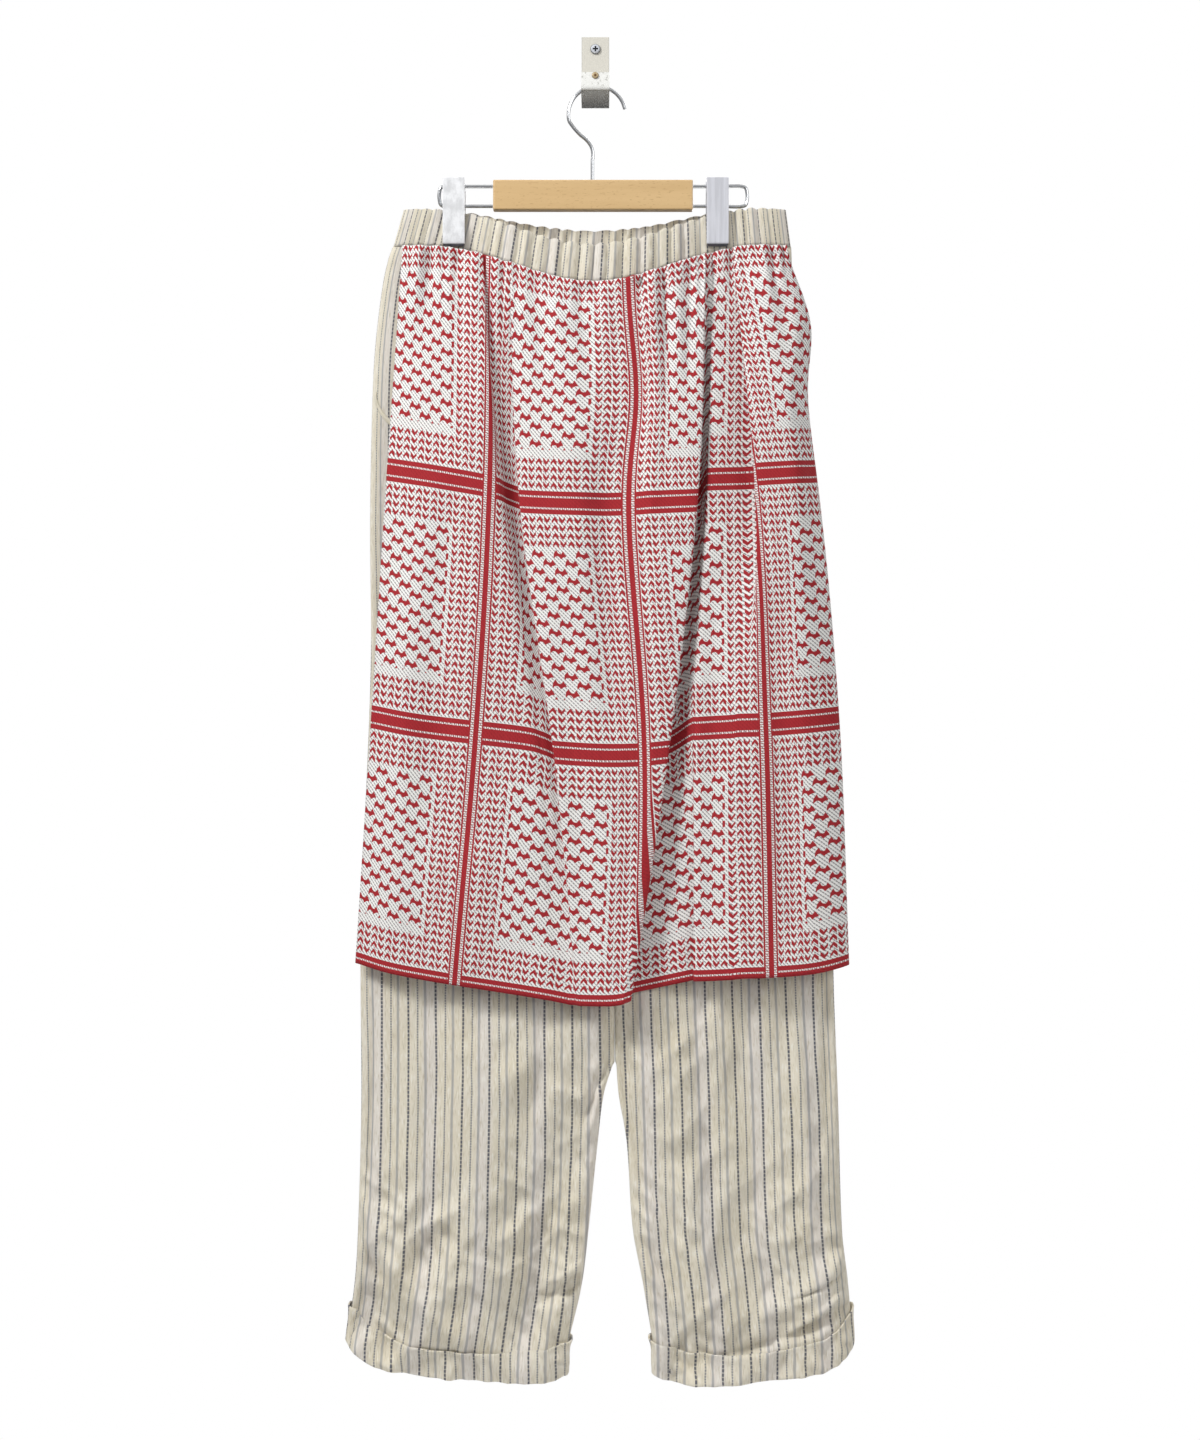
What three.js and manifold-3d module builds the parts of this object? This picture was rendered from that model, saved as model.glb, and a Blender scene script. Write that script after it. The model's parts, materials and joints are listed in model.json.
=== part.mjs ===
// Wide-leg pants with a gathered apron front, clipped to a hanger that hangs on a wall bracket.
// Millimetres, +Z up, the wall is the plane y = 0 and the garment faces -Y.
// The origin is the bracket's screw, on the wall.
import * as THREE from 'three';
import Module from 'manifold-3d';
import { mergeVertices } from 'three/addons/utils/BufferGeometryUtils.js';

const wasm = await Module();
wasm.setup();

// Driving sizes of the garment
const HANG_Y = -62;            // the plane that the hanger and the cloth hang in
const SEAM_GAP = 0.3;          // between pieces that are sewn or seated together
const TROUSER_WALL = 1.2;
const APRON_WALL = 1.0;
const BAND_WALL = 3.0;         // casing, elastic and turnings
const CUFF_WALL = 2.0;
const SIDE_SEAM_Z = -183.6;    // the waist seam at the sides
const BAND_TALL = 30.5;
const BAND_TOP = { left: -163.5, right: 162.5 };
const BAND_FOOT = { left: -172, right: 166.5 };
const BAND_GATHERS = 30;       // on each of the band's two faces
const BAND_WAVE = 1.1;
const FRONT_SAG = 31.5;        // how far the waist drops between the clips
const BACK_SAG = 15.5;
const SAG_CENTRE = -2;
const SAG_REACH = 138;
const WAIST_DEPTH = 13;        // from the hanging plane to the band, mid-front and mid-back
const PINCH = { left: -119.8, right: 103.6, width: 30, share: 0.8, footZ: -370 };
const FRONT_DEPTH = { hip: 9, leg: 14 };
const BACK_DEPTH = { hip: 17, leg: 16 };
const HIP_Z = -262;
const APRON_FOOT_Z = -790;
const CROTCH_Z = -876;
const FORK_REACH = 120;        // how far above the crotch the legs begin to part
const RING_POWER = 2.6;        // squareness of the flattened tubes
const CENTRE_SEAM = { topX: -3, footX: 16.6, footZ: -830 };

// The outside of the trousers, from the waist seam down
const SIDES = [
  { z: -183, left: -172, right: 166.5 },
  { z: -196, left: -176.5, right: 167 },
  { z: -220, left: -181.3, right: 167 },
  { z: -271, left: -187.3, right: 172 },
  { z: -322, left: -189.8, right: 172 },
  { z: -424, left: -191.5, right: 181 },
  { z: -526, left: -190.7, right: 190 },
  { z: -628, left: -194.1, right: 198 },
  { z: -730, left: -199.2, right: 202.5 },
  { z: -806, left: -199.6, right: 202.6 },
  { z: -908, left: -198.8, right: 206.3 },
  { z: -1019, left: -201.7, right: 209.7 },
  { z: -1061, left: -204.3, right: 214.5 },
  { z: -1117, left: -211.8, right: 219.3 },
];

// The inside edge of each leg below the crotch
const INSIDES = [
  { z: -876, left: 15.6, right: 17.6 },
  { z: -903, left: 7.4, right: 19.6 },
  { z: -944, left: 2.3, right: 26.5 },
  { z: -1017, left: -5.4, right: 31.6 },
  { z: -1065, left: -11.3, right: 40.5 },
  { z: -1117, left: -23.6, right: 49.2 },
];

// The hem of each leg front: the share of the way from side seam to inner seam, and the height
const HEMS = {
  left: [
    { along: 0, z: -1116 }, { along: 0.2, z: -1136 }, { along: 0.5, z: -1146 },
    { along: 0.8, z: -1149 }, { along: 1, z: -1136 },
  ],
  right: [
    { along: 0, z: -1117.5 }, { along: 0.2, z: -1139 }, { along: 0.5, z: -1148 },
    { along: 0.78, z: -1151 }, { along: 1, z: -1137 },
  ],
};
const BACK_HEM_LIFT = 7;
const CUFF_TALL = { side: 31, middle: 24, inner: 21 };

// Soft folds of the legs: where each starts and ends, how wide it is and how far it stands out
const LEG_FOLDS = {
  left_front: [
    { fromAlong: 0.55, fromZ: -830, toAlong: 0.45, toZ: -1140, width: 0.13, out: 3.5 },
    { fromAlong: 0.8, fromZ: -900, toAlong: 0.7, toZ: -1140, width: 0.09, out: -3 },
    { fromAlong: 0.02, fromZ: -980, toAlong: 0.5, toZ: -1120, width: 0.08, out: 3.5 },
    { fromAlong: 0.0, fromZ: -1050, toAlong: 0.3, toZ: -1130, width: 0.07, out: -3 },
    { fromAlong: 1.0, fromZ: -1050, toAlong: 0.72, toZ: -1085, width: 0.07, out: -4 },
  ],
  right_front: [
    { fromAlong: 0.75, fromZ: -850, toAlong: 0.62, toZ: -1140, width: 0.1, out: 4 },
    { fromAlong: 0.45, fromZ: -830, toAlong: 0.4, toZ: -1130, width: 0.08, out: -3.5 },
    { fromAlong: 0.0, fromZ: -1030, toAlong: 0.45, toZ: -1095, width: 0.08, out: 4 },
    { fromAlong: 0.0, fromZ: -1075, toAlong: 0.6, toZ: -1125, width: 0.07, out: -3.5 },
    { fromAlong: 1.0, fromZ: -1040, toAlong: 0.6, toZ: -1110, width: 0.07, out: 3 },
  ],
  left_back: [
    { fromAlong: 0.35, fromZ: -190, toAlong: 0.3, toZ: -1120, width: 0.1, out: 4 },
    { fromAlong: 0.62, fromZ: -190, toAlong: 0.55, toZ: -1130, width: 0.09, out: -4 },
    { fromAlong: 0.85, fromZ: -230, toAlong: 0.75, toZ: -1120, width: 0.08, out: 3.5 },
    { fromAlong: 0.0, fromZ: -1010, toAlong: 0.5, toZ: -1110, width: 0.08, out: 3 },
  ],
  right_back: [
    { fromAlong: 0.3, fromZ: -190, toAlong: 0.36, toZ: -1120, width: 0.1, out: 4 },
    { fromAlong: 0.56, fromZ: -190, toAlong: 0.6, toZ: -1130, width: 0.09, out: -4 },
    { fromAlong: 0.82, fromZ: -230, toAlong: 0.8, toZ: -1120, width: 0.08, out: 3.5 },
    { fromAlong: 0.0, fromZ: -1020, toAlong: 0.5, toZ: -1100, width: 0.08, out: -3 },
  ],
};
const BACK_GATHERS = 9;        // under the band, on each back panel
const GATHER_OUT = 1.8;
const GATHER_FADE = 90;

// The apron hangs from the waist seam. Each row is one line down the cloth: its share of the sag,
// its place across (x) and how far it stands before the hanging plane (out), each at the waist
// seam, the upper band, the lower band and the hem. The first `out` is measured from the trousers.
const APRON_LEVELS = [0, 192, 402.5, 608];
const APRON_DROP = 0.99;       // the cloth hangs this much of its own length, for its soft folds
const APRON_LINES = [
  { name: 'left edge', sag: 0, x: [-163, -175.7, -189.2, -202.7], out: [2.2, 16, 14, 13] },
  { name: 'left part', sag: 0.25, x: [-130, -131, -144, -160], out: [4.5, 26, 26, 24] },
  { name: 'first shoulder', sag: 0.52, x: [-97.4, -87, -64, -55], out: [6.5, 27, 28, 27] },
  { name: 'first valley, left', sag: 0.66, x: [-94, -75, -45, -30], out: [4.2, 15, 22, 25] },
  { name: 'first valley, right', sag: 0.78, x: [-73, -64, -36, -22], out: [1.9, 13, 20, 24] },
  { name: 'first lap, turned under', sag: 0.84, x: [-58, -54, -29, -17], out: [5.2, 19, 24, 26] },
  { name: 'first lap, edge', sag: 0.92, x: [-71, -62, -33, -11], out: [10, 29, 31, 29] },
  { name: 'middle', sag: 1, x: [-23, -19.5, 6.5, 9], out: [8, 37, 36, 34] },
  { name: 'crease by the second stripe', sag: 0.97, x: [22, 21.5, 36, 19], out: [7, 28, 34, 35] },
  { name: 'right of the second stripe', sag: 0.88, x: [57, 57, 50, 24], out: [8, 36, 36, 35.5] },
  { name: 'second lap, edge', sag: 0.76, x: [93, 85.5, 61, 29], out: [9, 33, 32, 30] },
  { name: 'second lap, turned under', sag: 0.6, x: [78, 66, 36, 7], out: [5.2, 21, 19, 20] },
  { name: 'second valley', sag: 0.44, x: [93, 86, 62, 31], out: [1.9, 13, 13, 14] },
  { name: 'right of the valley', sag: 0.3, x: [103, 98, 87, 83], out: [2.4, 25, 30, 30] },
  { name: 'third valley', sag: 0.25, x: [113, 126, 114, 112], out: [1.9, 17, 32, 32] },
  { name: 'third lap, turned under', sag: 0.22, x: [134, 143, 121, 122], out: [5.2, 24, 33, 33] },
  { name: 'third lap, edge', sag: 0.2, x: [116, 134, 143, 148], out: [9, 34, 33, 33] },
  { name: 'right part', sag: 0.12, x: [140, 167.5, 177, 184.5], out: [8.5, 31, 29, 28] },
  { name: 'round the side', sag: 0.04, x: [153, 185, 204, 212.5], out: [5, 12, 12, 12] },
  { name: 'right edge', sag: 0, x: [160, 187.5, 205.5, 213.5], out: [2.4, -2, -3, -3] },
];
const APRON_SAG = 30;
const APRON_SAG_GROWTH = 0.2;
const APRON_GATHER_PITCH = 25;
const APRON_GATHER_OUT = 1.8;
const APRON_GATHER_FADE = 70;
const HIP_SWELL = { fromX: 120, toX: 180, out: 14, drop: 62, reach: 45 };

// The hanger and its bracket
const BRACKET = { wide: 24, thick: 3, top: 10.6, foot: -51.5, reach: 69, lip: 15.1, bend: 3.5 };
const SCREW = { radius: 4.3, tall: 2.2, slotLong: 4.6, slotWide: 1.1, slotDeep: 1.2 };
const RIVET = { radius: 2.8, tall: 1.2, z: -39.2 };
const WIRE = 1.5;              // radius of the hanger's wire
const HOOK = { x: 1.45, z: -70.1, across: 23.4, rise: 29.8, stemX: -2.4 };
const BAR = { left: -86.7, right: 82.8, top: -127.2, foot: -152.6, deep: 12, round: 1.2 };
const LOOP = { top: -131.9, foot: -148.7, left: -133.7, right: 130.2, round: 6 };
const CLIP = { wide: 18, top: -126.2, foot: -181.6, front: -73, inner: 6.9, corner: 1, barrel: 6.6 };
const JAW = { wide: 14, tall: 8, inner: 5.8 };

const COLOURS = {
  trouser: 0xdcd3bb, apron: 0xd9c0bf, steel: 0xa9adb2, plate: 0xc9cbcc, brass: 0xb08d4f, beech: 0xd9b483,
};

const material = (color, roughness, metalness = 0) =>
  new THREE.MeshStandardMaterial({ color, roughness, metalness, side: THREE.DoubleSide });

const LOOKS = {
  trouser: material(COLOURS.trouser, 0.92),
  apron: material(COLOURS.apron, 0.88),
  steel: material(COLOURS.steel, 0.3, 1),
  plate: material(COLOURS.plate, 0.35, 1),
  brass: material(COLOURS.brass, 0.35, 1),
  beech: material(COLOURS.beech, 0.55),
};

const model = new THREE.Group();

function add(name, geometry, look) {
  const mesh = new THREE.Mesh(geometry, look);
  mesh.name = name;
  model.add(mesh);
  return mesh;
}

// Small helpers

const clamp01 = (value) => Math.min(1, Math.max(0, value));
const mix = (a, b, share) => a + (b - a) * share;

function ease(value) {
  const t = clamp01(value);
  return t * t * (3 - 2 * t);
}

// A smooth curve through (stations, values), read at one station
function smoothAt(stations, values, at) {
  const last = stations.length - 1;
  const rising = stations[last] > stations[0] ? 1 : -1;
  let i = 0;
  while (i < last - 1 && (at - stations[i + 1]) * rising > 0) i += 1;
  const step = stations[i + 1] - stations[i];
  const t = Math.min(1, Math.max(0, (at - stations[i]) / step));
  const slope = (k) => {
    const a = Math.max(0, k - 1);
    const b = Math.min(last, k + 1);
    return (values[b] - values[a]) / (stations[b] - stations[a]);
  };
  const t2 = t * t;
  const t3 = t2 * t;
  return (2 * t3 - 3 * t2 + 1) * values[i] + (t3 - 2 * t2 + t) * step * slope(i)
    + (3 * t2 - 2 * t3) * values[i + 1] + (t3 - t2) * step * slope(i + 1);
}

const column = (rows, key) => rows.map((row) => row[key]);

// Makes a closed mesh whose faces point out, from points and triangles
function closedMesh(points, triangles) {
  let volume = 0;
  const cross = new THREE.Vector3();
  for (const [a, b, c] of triangles) {
    volume += points[a].dot(cross.crossVectors(points[b], points[c]));
  }
  const ordered = volume < 0 ? triangles.map(([a, b, c]) => [a, c, b]) : triangles;
  const geometry = new THREE.BufferGeometry();
  geometry.setAttribute('position', new THREE.Float32BufferAttribute(points.flatMap((p) => p.toArray()), 3));
  geometry.setIndex(ordered.flat());
  geometry.computeVertexNormals();
  return geometry;
}

// A wall of cloth on a surface: point(across, down) gives the surface for 0..1 both ways, and
// the wall lies evenly on both sides of it, or `lift` further out
function clothWall({ point, across, down, wall, facing, lift = 0, limit = null }) {
  const wide = across.length;
  const tall = down.length;
  const grid = down.map((v) => across.map((u) => point(u, v)));
  // The way through a point, halfway between the steps that reach it and leave it
  const through = (before, here, after) => {
    const way = new THREE.Vector3();
    if (before) way.add(here.clone().sub(before).normalize());
    if (after) way.add(after.clone().sub(here).normalize());
    return way;
  };
  const normalAt = (i, j) => {
    const du = through(grid[j][i - 1], grid[j][i], grid[j][i + 1]);
    const dv = through(grid[j - 1]?.[i], grid[j][i], grid[j + 1]?.[i]);
    return du.cross(dv).normalize();
  };
  const turn = normalAt(wide >> 1, tall >> 1).dot(facing) > 0 ? 1 : -1;
  const points = [];
  for (const side of [lift + wall / 2, lift - wall / 2]) {
    for (let j = 0; j < tall; j += 1) {
      for (let i = 0; i < wide; i += 1) {
        const p = grid[j][i].clone().addScaledVector(normalAt(i, j), turn * side);
        points.push(limit ? limit(p) : p);
      }
    }
  }
  const half = wide * tall;
  const triangles = [];
  const quad = (a, b, c, d) => triangles.push([a, b, c], [a, c, d]);
  for (let j = 0; j < tall - 1; j += 1) {
    for (let i = 0; i < wide - 1; i += 1) {
      const a = j * wide + i;
      quad(a, a + 1, a + wide + 1, a + wide);
      quad(half + a, half + a + wide, half + a + wide + 1, half + a + 1);
    }
  }
  for (let i = 0; i < wide - 1; i += 1) {
    const foot = (tall - 1) * wide + i;
    quad(i, half + i, half + i + 1, i + 1);
    quad(foot, foot + 1, half + foot + 1, half + foot);
  }
  for (let j = 0; j < tall - 1; j += 1) {
    const left = j * wide;
    const right = left + wide - 1;
    quad(left, left + wide, half + left + wide, half + left);
    quad(right, half + right, half + right + wide, right + wide);
  }
  return closedMesh(points, triangles);
}

const even = (count, from = 0, to = 1) =>
  Array.from({ length: count + 1 }, (_, i) => mix(from, to, i / count));

// The waist

// 0 at the sides and 1 mid-way, for the profile of a flattened tube
function ring(share) {
  const away = Math.abs(2 * clamp01(share) - 1);
  return (1 - away ** RING_POWER) ** (1 / RING_POWER);
}

function sagAt(x, deepest) {
  const t = Math.min(1, Math.abs(x - SAG_CENTRE) / SAG_REACH);
  return deepest * (0.5 + 0.5 * Math.cos(Math.PI * t));
}

function pinchAt(x) {
  const near = (centre) => Math.exp(-(((x - centre) / PINCH.width) ** 2));
  return 1 - PINCH.share * Math.min(1, near(PINCH.left) + near(PINCH.right));
}

// How far the waist stands from the hanging plane
function waistDepth(x) {
  const share = (x - BAND_FOOT.left) / (BAND_FOOT.right - BAND_FOOT.left);
  return WAIST_DEPTH * ring(share) * pinchAt(x);
}

const seamZ = (x, isFront) => SIDE_SEAM_Z - sagAt(x, isFront ? FRONT_SAG : BACK_SAG);

function bandWall(isFront) {
  const face = isFront ? -1 : 1;
  const point = (u, v) => {
    const share = mix(u, (1 - Math.cos(Math.PI * u)) / 2, 0.35);
    const left = mix(BAND_TOP.left, BAND_FOOT.left, v) + BAND_WALL / 2;
    const right = mix(BAND_TOP.right, BAND_FOOT.right, v) - BAND_WALL / 2;
    const x = mix(left, right, share);
    const wave = BAND_WAVE * Math.sin(2 * Math.PI * BAND_GATHERS * u) * ease(6 * u) * ease(6 - 6 * u);
    const depth = WAIST_DEPTH * ring(share) * pinchAt(x) + wave;
    return new THREE.Vector3(x, HANG_Y + face * depth, seamZ(x, isFront) + BAND_TALL * (1 - v));
  };
  return clothWall({
    point, across: even(BAND_GATHERS * 4), down: [0, 1], wall: BAND_WALL,
    facing: new THREE.Vector3(0, face, 0), limit: (p) => keepFace(p, isFront),
  });
}

function keepFace(p, isFront) {
  if (isFront) p.y = Math.min(p.y, HANG_Y - SEAM_GAP / 2);
  else p.y = Math.max(p.y, HANG_Y + SEAM_GAP / 2);
  return p;
}

// The trousers

const centreX = (z) =>
  mix(CENTRE_SEAM.topX, CENTRE_SEAM.footX, clamp01((z - SIDE_SEAM_Z) / (CENTRE_SEAM.footZ - SIDE_SEAM_Z)));

// 1 where both legs are one tube, 0 below the crotch
const joined = (z) => ease((z - CROTCH_Z) / FORK_REACH);

const sideX = (isLeft, z) => smoothAt(column(SIDES, 'z'), column(SIDES, isLeft ? 'left' : 'right'), z);

function insideX(isLeft, z) {
  if (z > CROTCH_Z) return centreX(z);
  return smoothAt(column(INSIDES, 'z'), column(INSIDES, isLeft ? 'left' : 'right'), z);
}

function depthAt(isFront, z) {
  const { hip, leg } = isFront ? FRONT_DEPTH : BACK_DEPTH;
  const below = mix(hip, leg, ease((APRON_FOOT_Z - z) / 120));
  return mix(WAIST_DEPTH, below, ease((SIDE_SEAM_Z - z) / (SIDE_SEAM_Z - HIP_Z)));
}

function foldAt(folds, along, z) {
  let out = 0;
  for (const fold of folds) {
    const t = (z - fold.fromZ) / (fold.toZ - fold.fromZ);
    const middle = mix(fold.fromAlong, fold.toAlong, clamp01(t));
    const ends = ease(1 - Math.abs(2 * t - 1) ** 3) * (t > 0 && t < 1 ? 1 : 0);
    out += fold.out * ends * Math.exp(-(((along - middle) / fold.width) ** 2));
  }
  return out;
}

const panelName = (isLeft, isFront) => `${isLeft ? 'left' : 'right'}_${isFront ? 'front' : 'back'}`;

// A point of a trouser panel: along runs from the side seam to the centre or inner seam
function legPoint(isLeft, isFront, along, z) {
  const hand = isLeft ? 1 : -1;
  const face = isFront ? -1 : 1;
  const one = joined(z);
  const outer = sideX(isLeft, z) + hand * TROUSER_WALL / 2;
  const inner = insideX(isLeft, z) - hand * (SEAM_GAP / 2 + (TROUSER_WALL / 2) * (1 - one));
  const bunched = mix((1 - Math.cos(Math.PI * along)) / 2, 1 - Math.cos(Math.PI * along / 2), one);
  const x = mix(outer, inner, mix(along, bunched, 0.6));
  const wholeLeft = sideX(true, z) + TROUSER_WALL / 2;
  const wholeRight = sideX(false, z) - TROUSER_WALL / 2;
  const hip = ring((x - wholeLeft) / (wholeRight - wholeLeft));
  const leg = ring((x - outer) / (inner - outer));
  const high = 1 - ease((SIDE_SEAM_Z - z) / (SIDE_SEAM_Z - PINCH.footZ));
  const pinch = mix(1, pinchAt(x), high);
  const shape = mix(leg, hip, one);
  const loose = Math.min(1, 2.5 * leg) * Math.min(1, 1.6 * ring(along / 2 + 0.5 * along * (1 - one)));
  let soft = foldAt(LEG_FOLDS[panelName(isLeft, isFront)], along, z) * loose;
  if (!isFront) {
    const fade = 1 - ease((seamZ(x, false) - z) / GATHER_FADE);
    soft += GATHER_OUT * Math.sin(2 * Math.PI * BACK_GATHERS * along) * fade * loose;
  }
  return new THREE.Vector3(x, HANG_Y + face * (depthAt(isFront, z) * shape * pinch + soft), z);
}

function hemZ(isLeft, isFront, along) {
  const rows = HEMS[isLeft ? 'left' : 'right'];
  const lift = isFront ? 0 : BACK_HEM_LIFT * ring(along);
  return smoothAt(column(rows, 'along'), column(rows, 'z'), along) + lift;
}

function keepPanel(p, isLeft, isFront) {
  keepFace(p, isFront);
  const seam = centreX(p.z);
  if (isLeft) p.x = Math.min(p.x, seam - SEAM_GAP / 2);
  else p.x = Math.max(p.x, seam + SEAM_GAP / 2);
  return p;
}

function cuffTall(along) {
  if (along < 0.5) return mix(CUFF_TALL.side, CUFF_TALL.middle, ease(2 * along));
  return mix(CUFF_TALL.middle, CUFF_TALL.inner, ease(2 * along - 1));
}

// The share of a panel's rows that lies above the cuff, and the rows themselves
const CUFF_ROW = 0.96;
const LEG_ROWS = [
  0, 0.03, 0.08, 0.16, 0.28, 0.42, 0.54, 0.62, 0.67, 0.71, 0.75, 0.81, 0.88, CUFF_ROW, 1,
];
const legColumns = (isFront) => even(isFront ? 18 : 27);

function panelPoint(isLeft, isFront, u, v) {
  const foot = hemZ(isLeft, isFront, u);
  const fold = foot + cuffTall(u);
  if (v > CUFF_ROW) return legPoint(isLeft, isFront, u, mix(fold, foot, (v - CUFF_ROW) / (1 - CUFF_ROW)));
  const top = seamZ(legPoint(isLeft, isFront, u, SIDE_SEAM_Z).x, isFront) - SEAM_GAP;
  return legPoint(isLeft, isFront, u, mix(top, fold, v / CUFF_ROW));
}

function legPanel(isLeft, isFront) {
  return clothWall({
    point: (u, v) => panelPoint(isLeft, isFront, u, v), across: legColumns(isFront), down: LEG_ROWS,
    wall: TROUSER_WALL, facing: new THREE.Vector3(0, isFront ? -1 : 1, 0),
    limit: (p) => keepPanel(p, isLeft, isFront),
  });
}

// A cuff lies on its leg panel's own points, moved out by both walls and the gap
function cuffPanel(isLeft, isFront) {
  return clothWall({
    point: (u, v) => panelPoint(isLeft, isFront, u, v), across: legColumns(isFront), down: [CUFF_ROW, 1],
    wall: CUFF_WALL, lift: TROUSER_WALL / 2 + SEAM_GAP + CUFF_WALL / 2,
    facing: new THREE.Vector3(0, isFront ? -1 : 1, 0), limit: (p) => keepPanel(p, isLeft, isFront),
  });
}

// The mouth of the side pocket, a narrow lip that curves forward from the side seam
const POCKET = { topZ: -307, tall: 31, forward: 0.2, wide: 5, wall: 1.2 };

function pocketLip() {
  const point = (u, v) => {
    const along = 0.035 + POCKET.forward * u ** 1.7;
    const z = POCKET.topZ - POCKET.tall * u - POCKET.wide * v;
    return legPoint(true, true, along, z);
  };
  return clothWall({
    point, across: even(10), down: even(2), wall: POCKET.wall,
    lift: TROUSER_WALL / 2 + SEAM_GAP + POCKET.wall / 2, facing: new THREE.Vector3(0, -1, 0),
  });
}

// The apron

function apronPoint(u, v) {
  const last = APRON_LINES.length - 1;
  const drop = v * APRON_LEVELS[APRON_LEVELS.length - 1];
  const lines = APRON_LINES.map((_, i) => i);
  const place = (key) =>
    smoothAt(lines, APRON_LINES.map((row) => smoothAt(APRON_LEVELS, row[key], drop)), u * last);
  const sag = smoothAt(lines, column(APRON_LINES, 'sag'), u * last);
  const sewn = 1 - ease(drop / APRON_GATHER_FADE);
  let x = place('x');
  let out = place('out') + waistDepth(x) * smoothAt(APRON_LEVELS, [1, 0, 0, 0], drop);
  out += APRON_GATHER_OUT * sewn * (0.5 + 0.5 * Math.sin(2 * Math.PI * x / APRON_GATHER_PITCH));
  const swell = Math.exp(-(((drop - HIP_SWELL.drop) / HIP_SWELL.reach) ** 2));
  x += HIP_SWELL.out * swell * ease((x - HIP_SWELL.fromX) / (HIP_SWELL.toX - HIP_SWELL.fromX));
  const deepest = APRON_SAG * (1 + APRON_SAG_GROWTH * v ** 2);
  const dip = mix(sag * deepest, sagAt(x, FRONT_SAG), sewn);
  return new THREE.Vector3(x, HANG_Y - out, SIDE_SEAM_Z - SEAM_GAP - APRON_WALL / 2 - drop * APRON_DROP - dip);
}

function apron() {
  return clothWall({
    point: apronPoint, across: even(3 * (APRON_LINES.length - 1)),
    down: [0, 0.04, 0.09, 0.15, 0.22, ...even(10, 0.3, 1)], wall: APRON_WALL, facing: new THREE.Vector3(0, -1, 0),
  });
}

// The hardware

function toSolid(geometry) {
  const plain = geometry.clone();
  plain.deleteAttribute('normal');
  plain.deleteAttribute('uv');
  const merged = mergeVertices(plain, 1e-4);
  return new wasm.Manifold(new wasm.Mesh({
    numProp: 3,
    vertProperties: new Float32Array(merged.attributes.position.array),
    triVerts: new Uint32Array(merged.index.array),
  }));
}

function fromSolid(solid) {
  const { vertProperties, triVerts } = solid.getMesh();
  const geometry = new THREE.BufferGeometry();
  geometry.setAttribute('position', new THREE.BufferAttribute(vertProperties, 3));
  geometry.setIndex(new THREE.BufferAttribute(triVerts, 1));
  geometry.computeVertexNormals();
  return geometry;
}

// A rod along a smooth route
function rod(points, radius, steps, sides = 8) {
  const section = new THREE.Shape();
  section.absarc(0, 0, radius, 0, 2 * Math.PI);
  const route = new THREE.CatmullRomCurve3(points);
  return new THREE.ExtrudeGeometry(section, { steps, curveSegments: sides / 2, extrudePath: route });
}

// The bracket is one bent strip: back plate, tray and upturned lip, drawn from the side
function bracket() {
  const { thick, top, foot, reach, lip, bend } = BRACKET;
  const side = new THREE.Shape();
  side.moveTo(0, top);
  side.lineTo(0, foot + bend);
  side.quadraticCurveTo(0, foot, bend, foot);
  side.lineTo(reach - bend, foot);
  side.quadraticCurveTo(reach, foot, reach, foot + bend);
  side.lineTo(reach, foot + lip);
  side.lineTo(reach - thick, foot + lip);
  side.lineTo(reach - thick, foot + thick);
  side.lineTo(thick, foot + thick);
  side.lineTo(thick, top);
  side.closePath();
  const geometry = new THREE.ExtrudeGeometry(side, { depth: BRACKET.wide, bevelEnabled: false, curveSegments: 4 });
  const turn = new THREE.Matrix4().makeBasis(
    new THREE.Vector3(0, -1, 0), new THREE.Vector3(0, 0, 1), new THREE.Vector3(-1, 0, 0));
  geometry.applyMatrix4(turn);
  geometry.translate(BRACKET.wide / 2, 0, 0);
  return geometry;
}

function disc(radius, tall, y, z) {
  const dome = [
    new THREE.Vector2(0, 0), new THREE.Vector2(radius, 0), new THREE.Vector2(radius, tall * 0.4),
    new THREE.Vector2(radius * 0.72, tall * 0.86), new THREE.Vector2(0, tall),
  ];
  const geometry = new THREE.LatheGeometry(dome, 20);
  geometry.rotateX(Math.PI);
  geometry.translate(0, y, z);
  return geometry;
}

function screw() {
  const seat = -BRACKET.thick - SEAM_GAP;
  let head = toSolid(disc(SCREW.radius, SCREW.tall, seat, 0));
  const slotY = seat - SCREW.tall;
  for (const turn of [0, Math.PI / 2]) {
    const slot = new THREE.BoxGeometry(SCREW.slotLong, 2 * SCREW.slotDeep, SCREW.slotWide);
    slot.rotateY(turn);
    slot.translate(0, slotY, 0);
    head = head.subtract(toSolid(slot));
  }
  return fromSolid(head);
}

function hook() {
  const points = [];
  for (let turn = 5; turn <= 185; turn += 15) {
    const angle = THREE.MathUtils.degToRad(turn);
    points.push(new THREE.Vector3(
      HOOK.x + HOOK.across * Math.cos(angle), HANG_Y, HOOK.z + HOOK.rise * Math.sin(angle)));
  }
  const below = [
    { x: -20.5, z: -79 }, { x: -13.8, z: -87 }, { x: -5.6, z: -94.5 }, { x: HOOK.stemX, z: -101 },
    { x: HOOK.stemX, z: -112 }, { x: HOOK.stemX, z: BAR.top + SEAM_GAP },
  ];
  for (const spot of below) points.push(new THREE.Vector3(spot.x, HANG_Y, spot.z));
  return rod(points, WIRE, 32);
}

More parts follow.
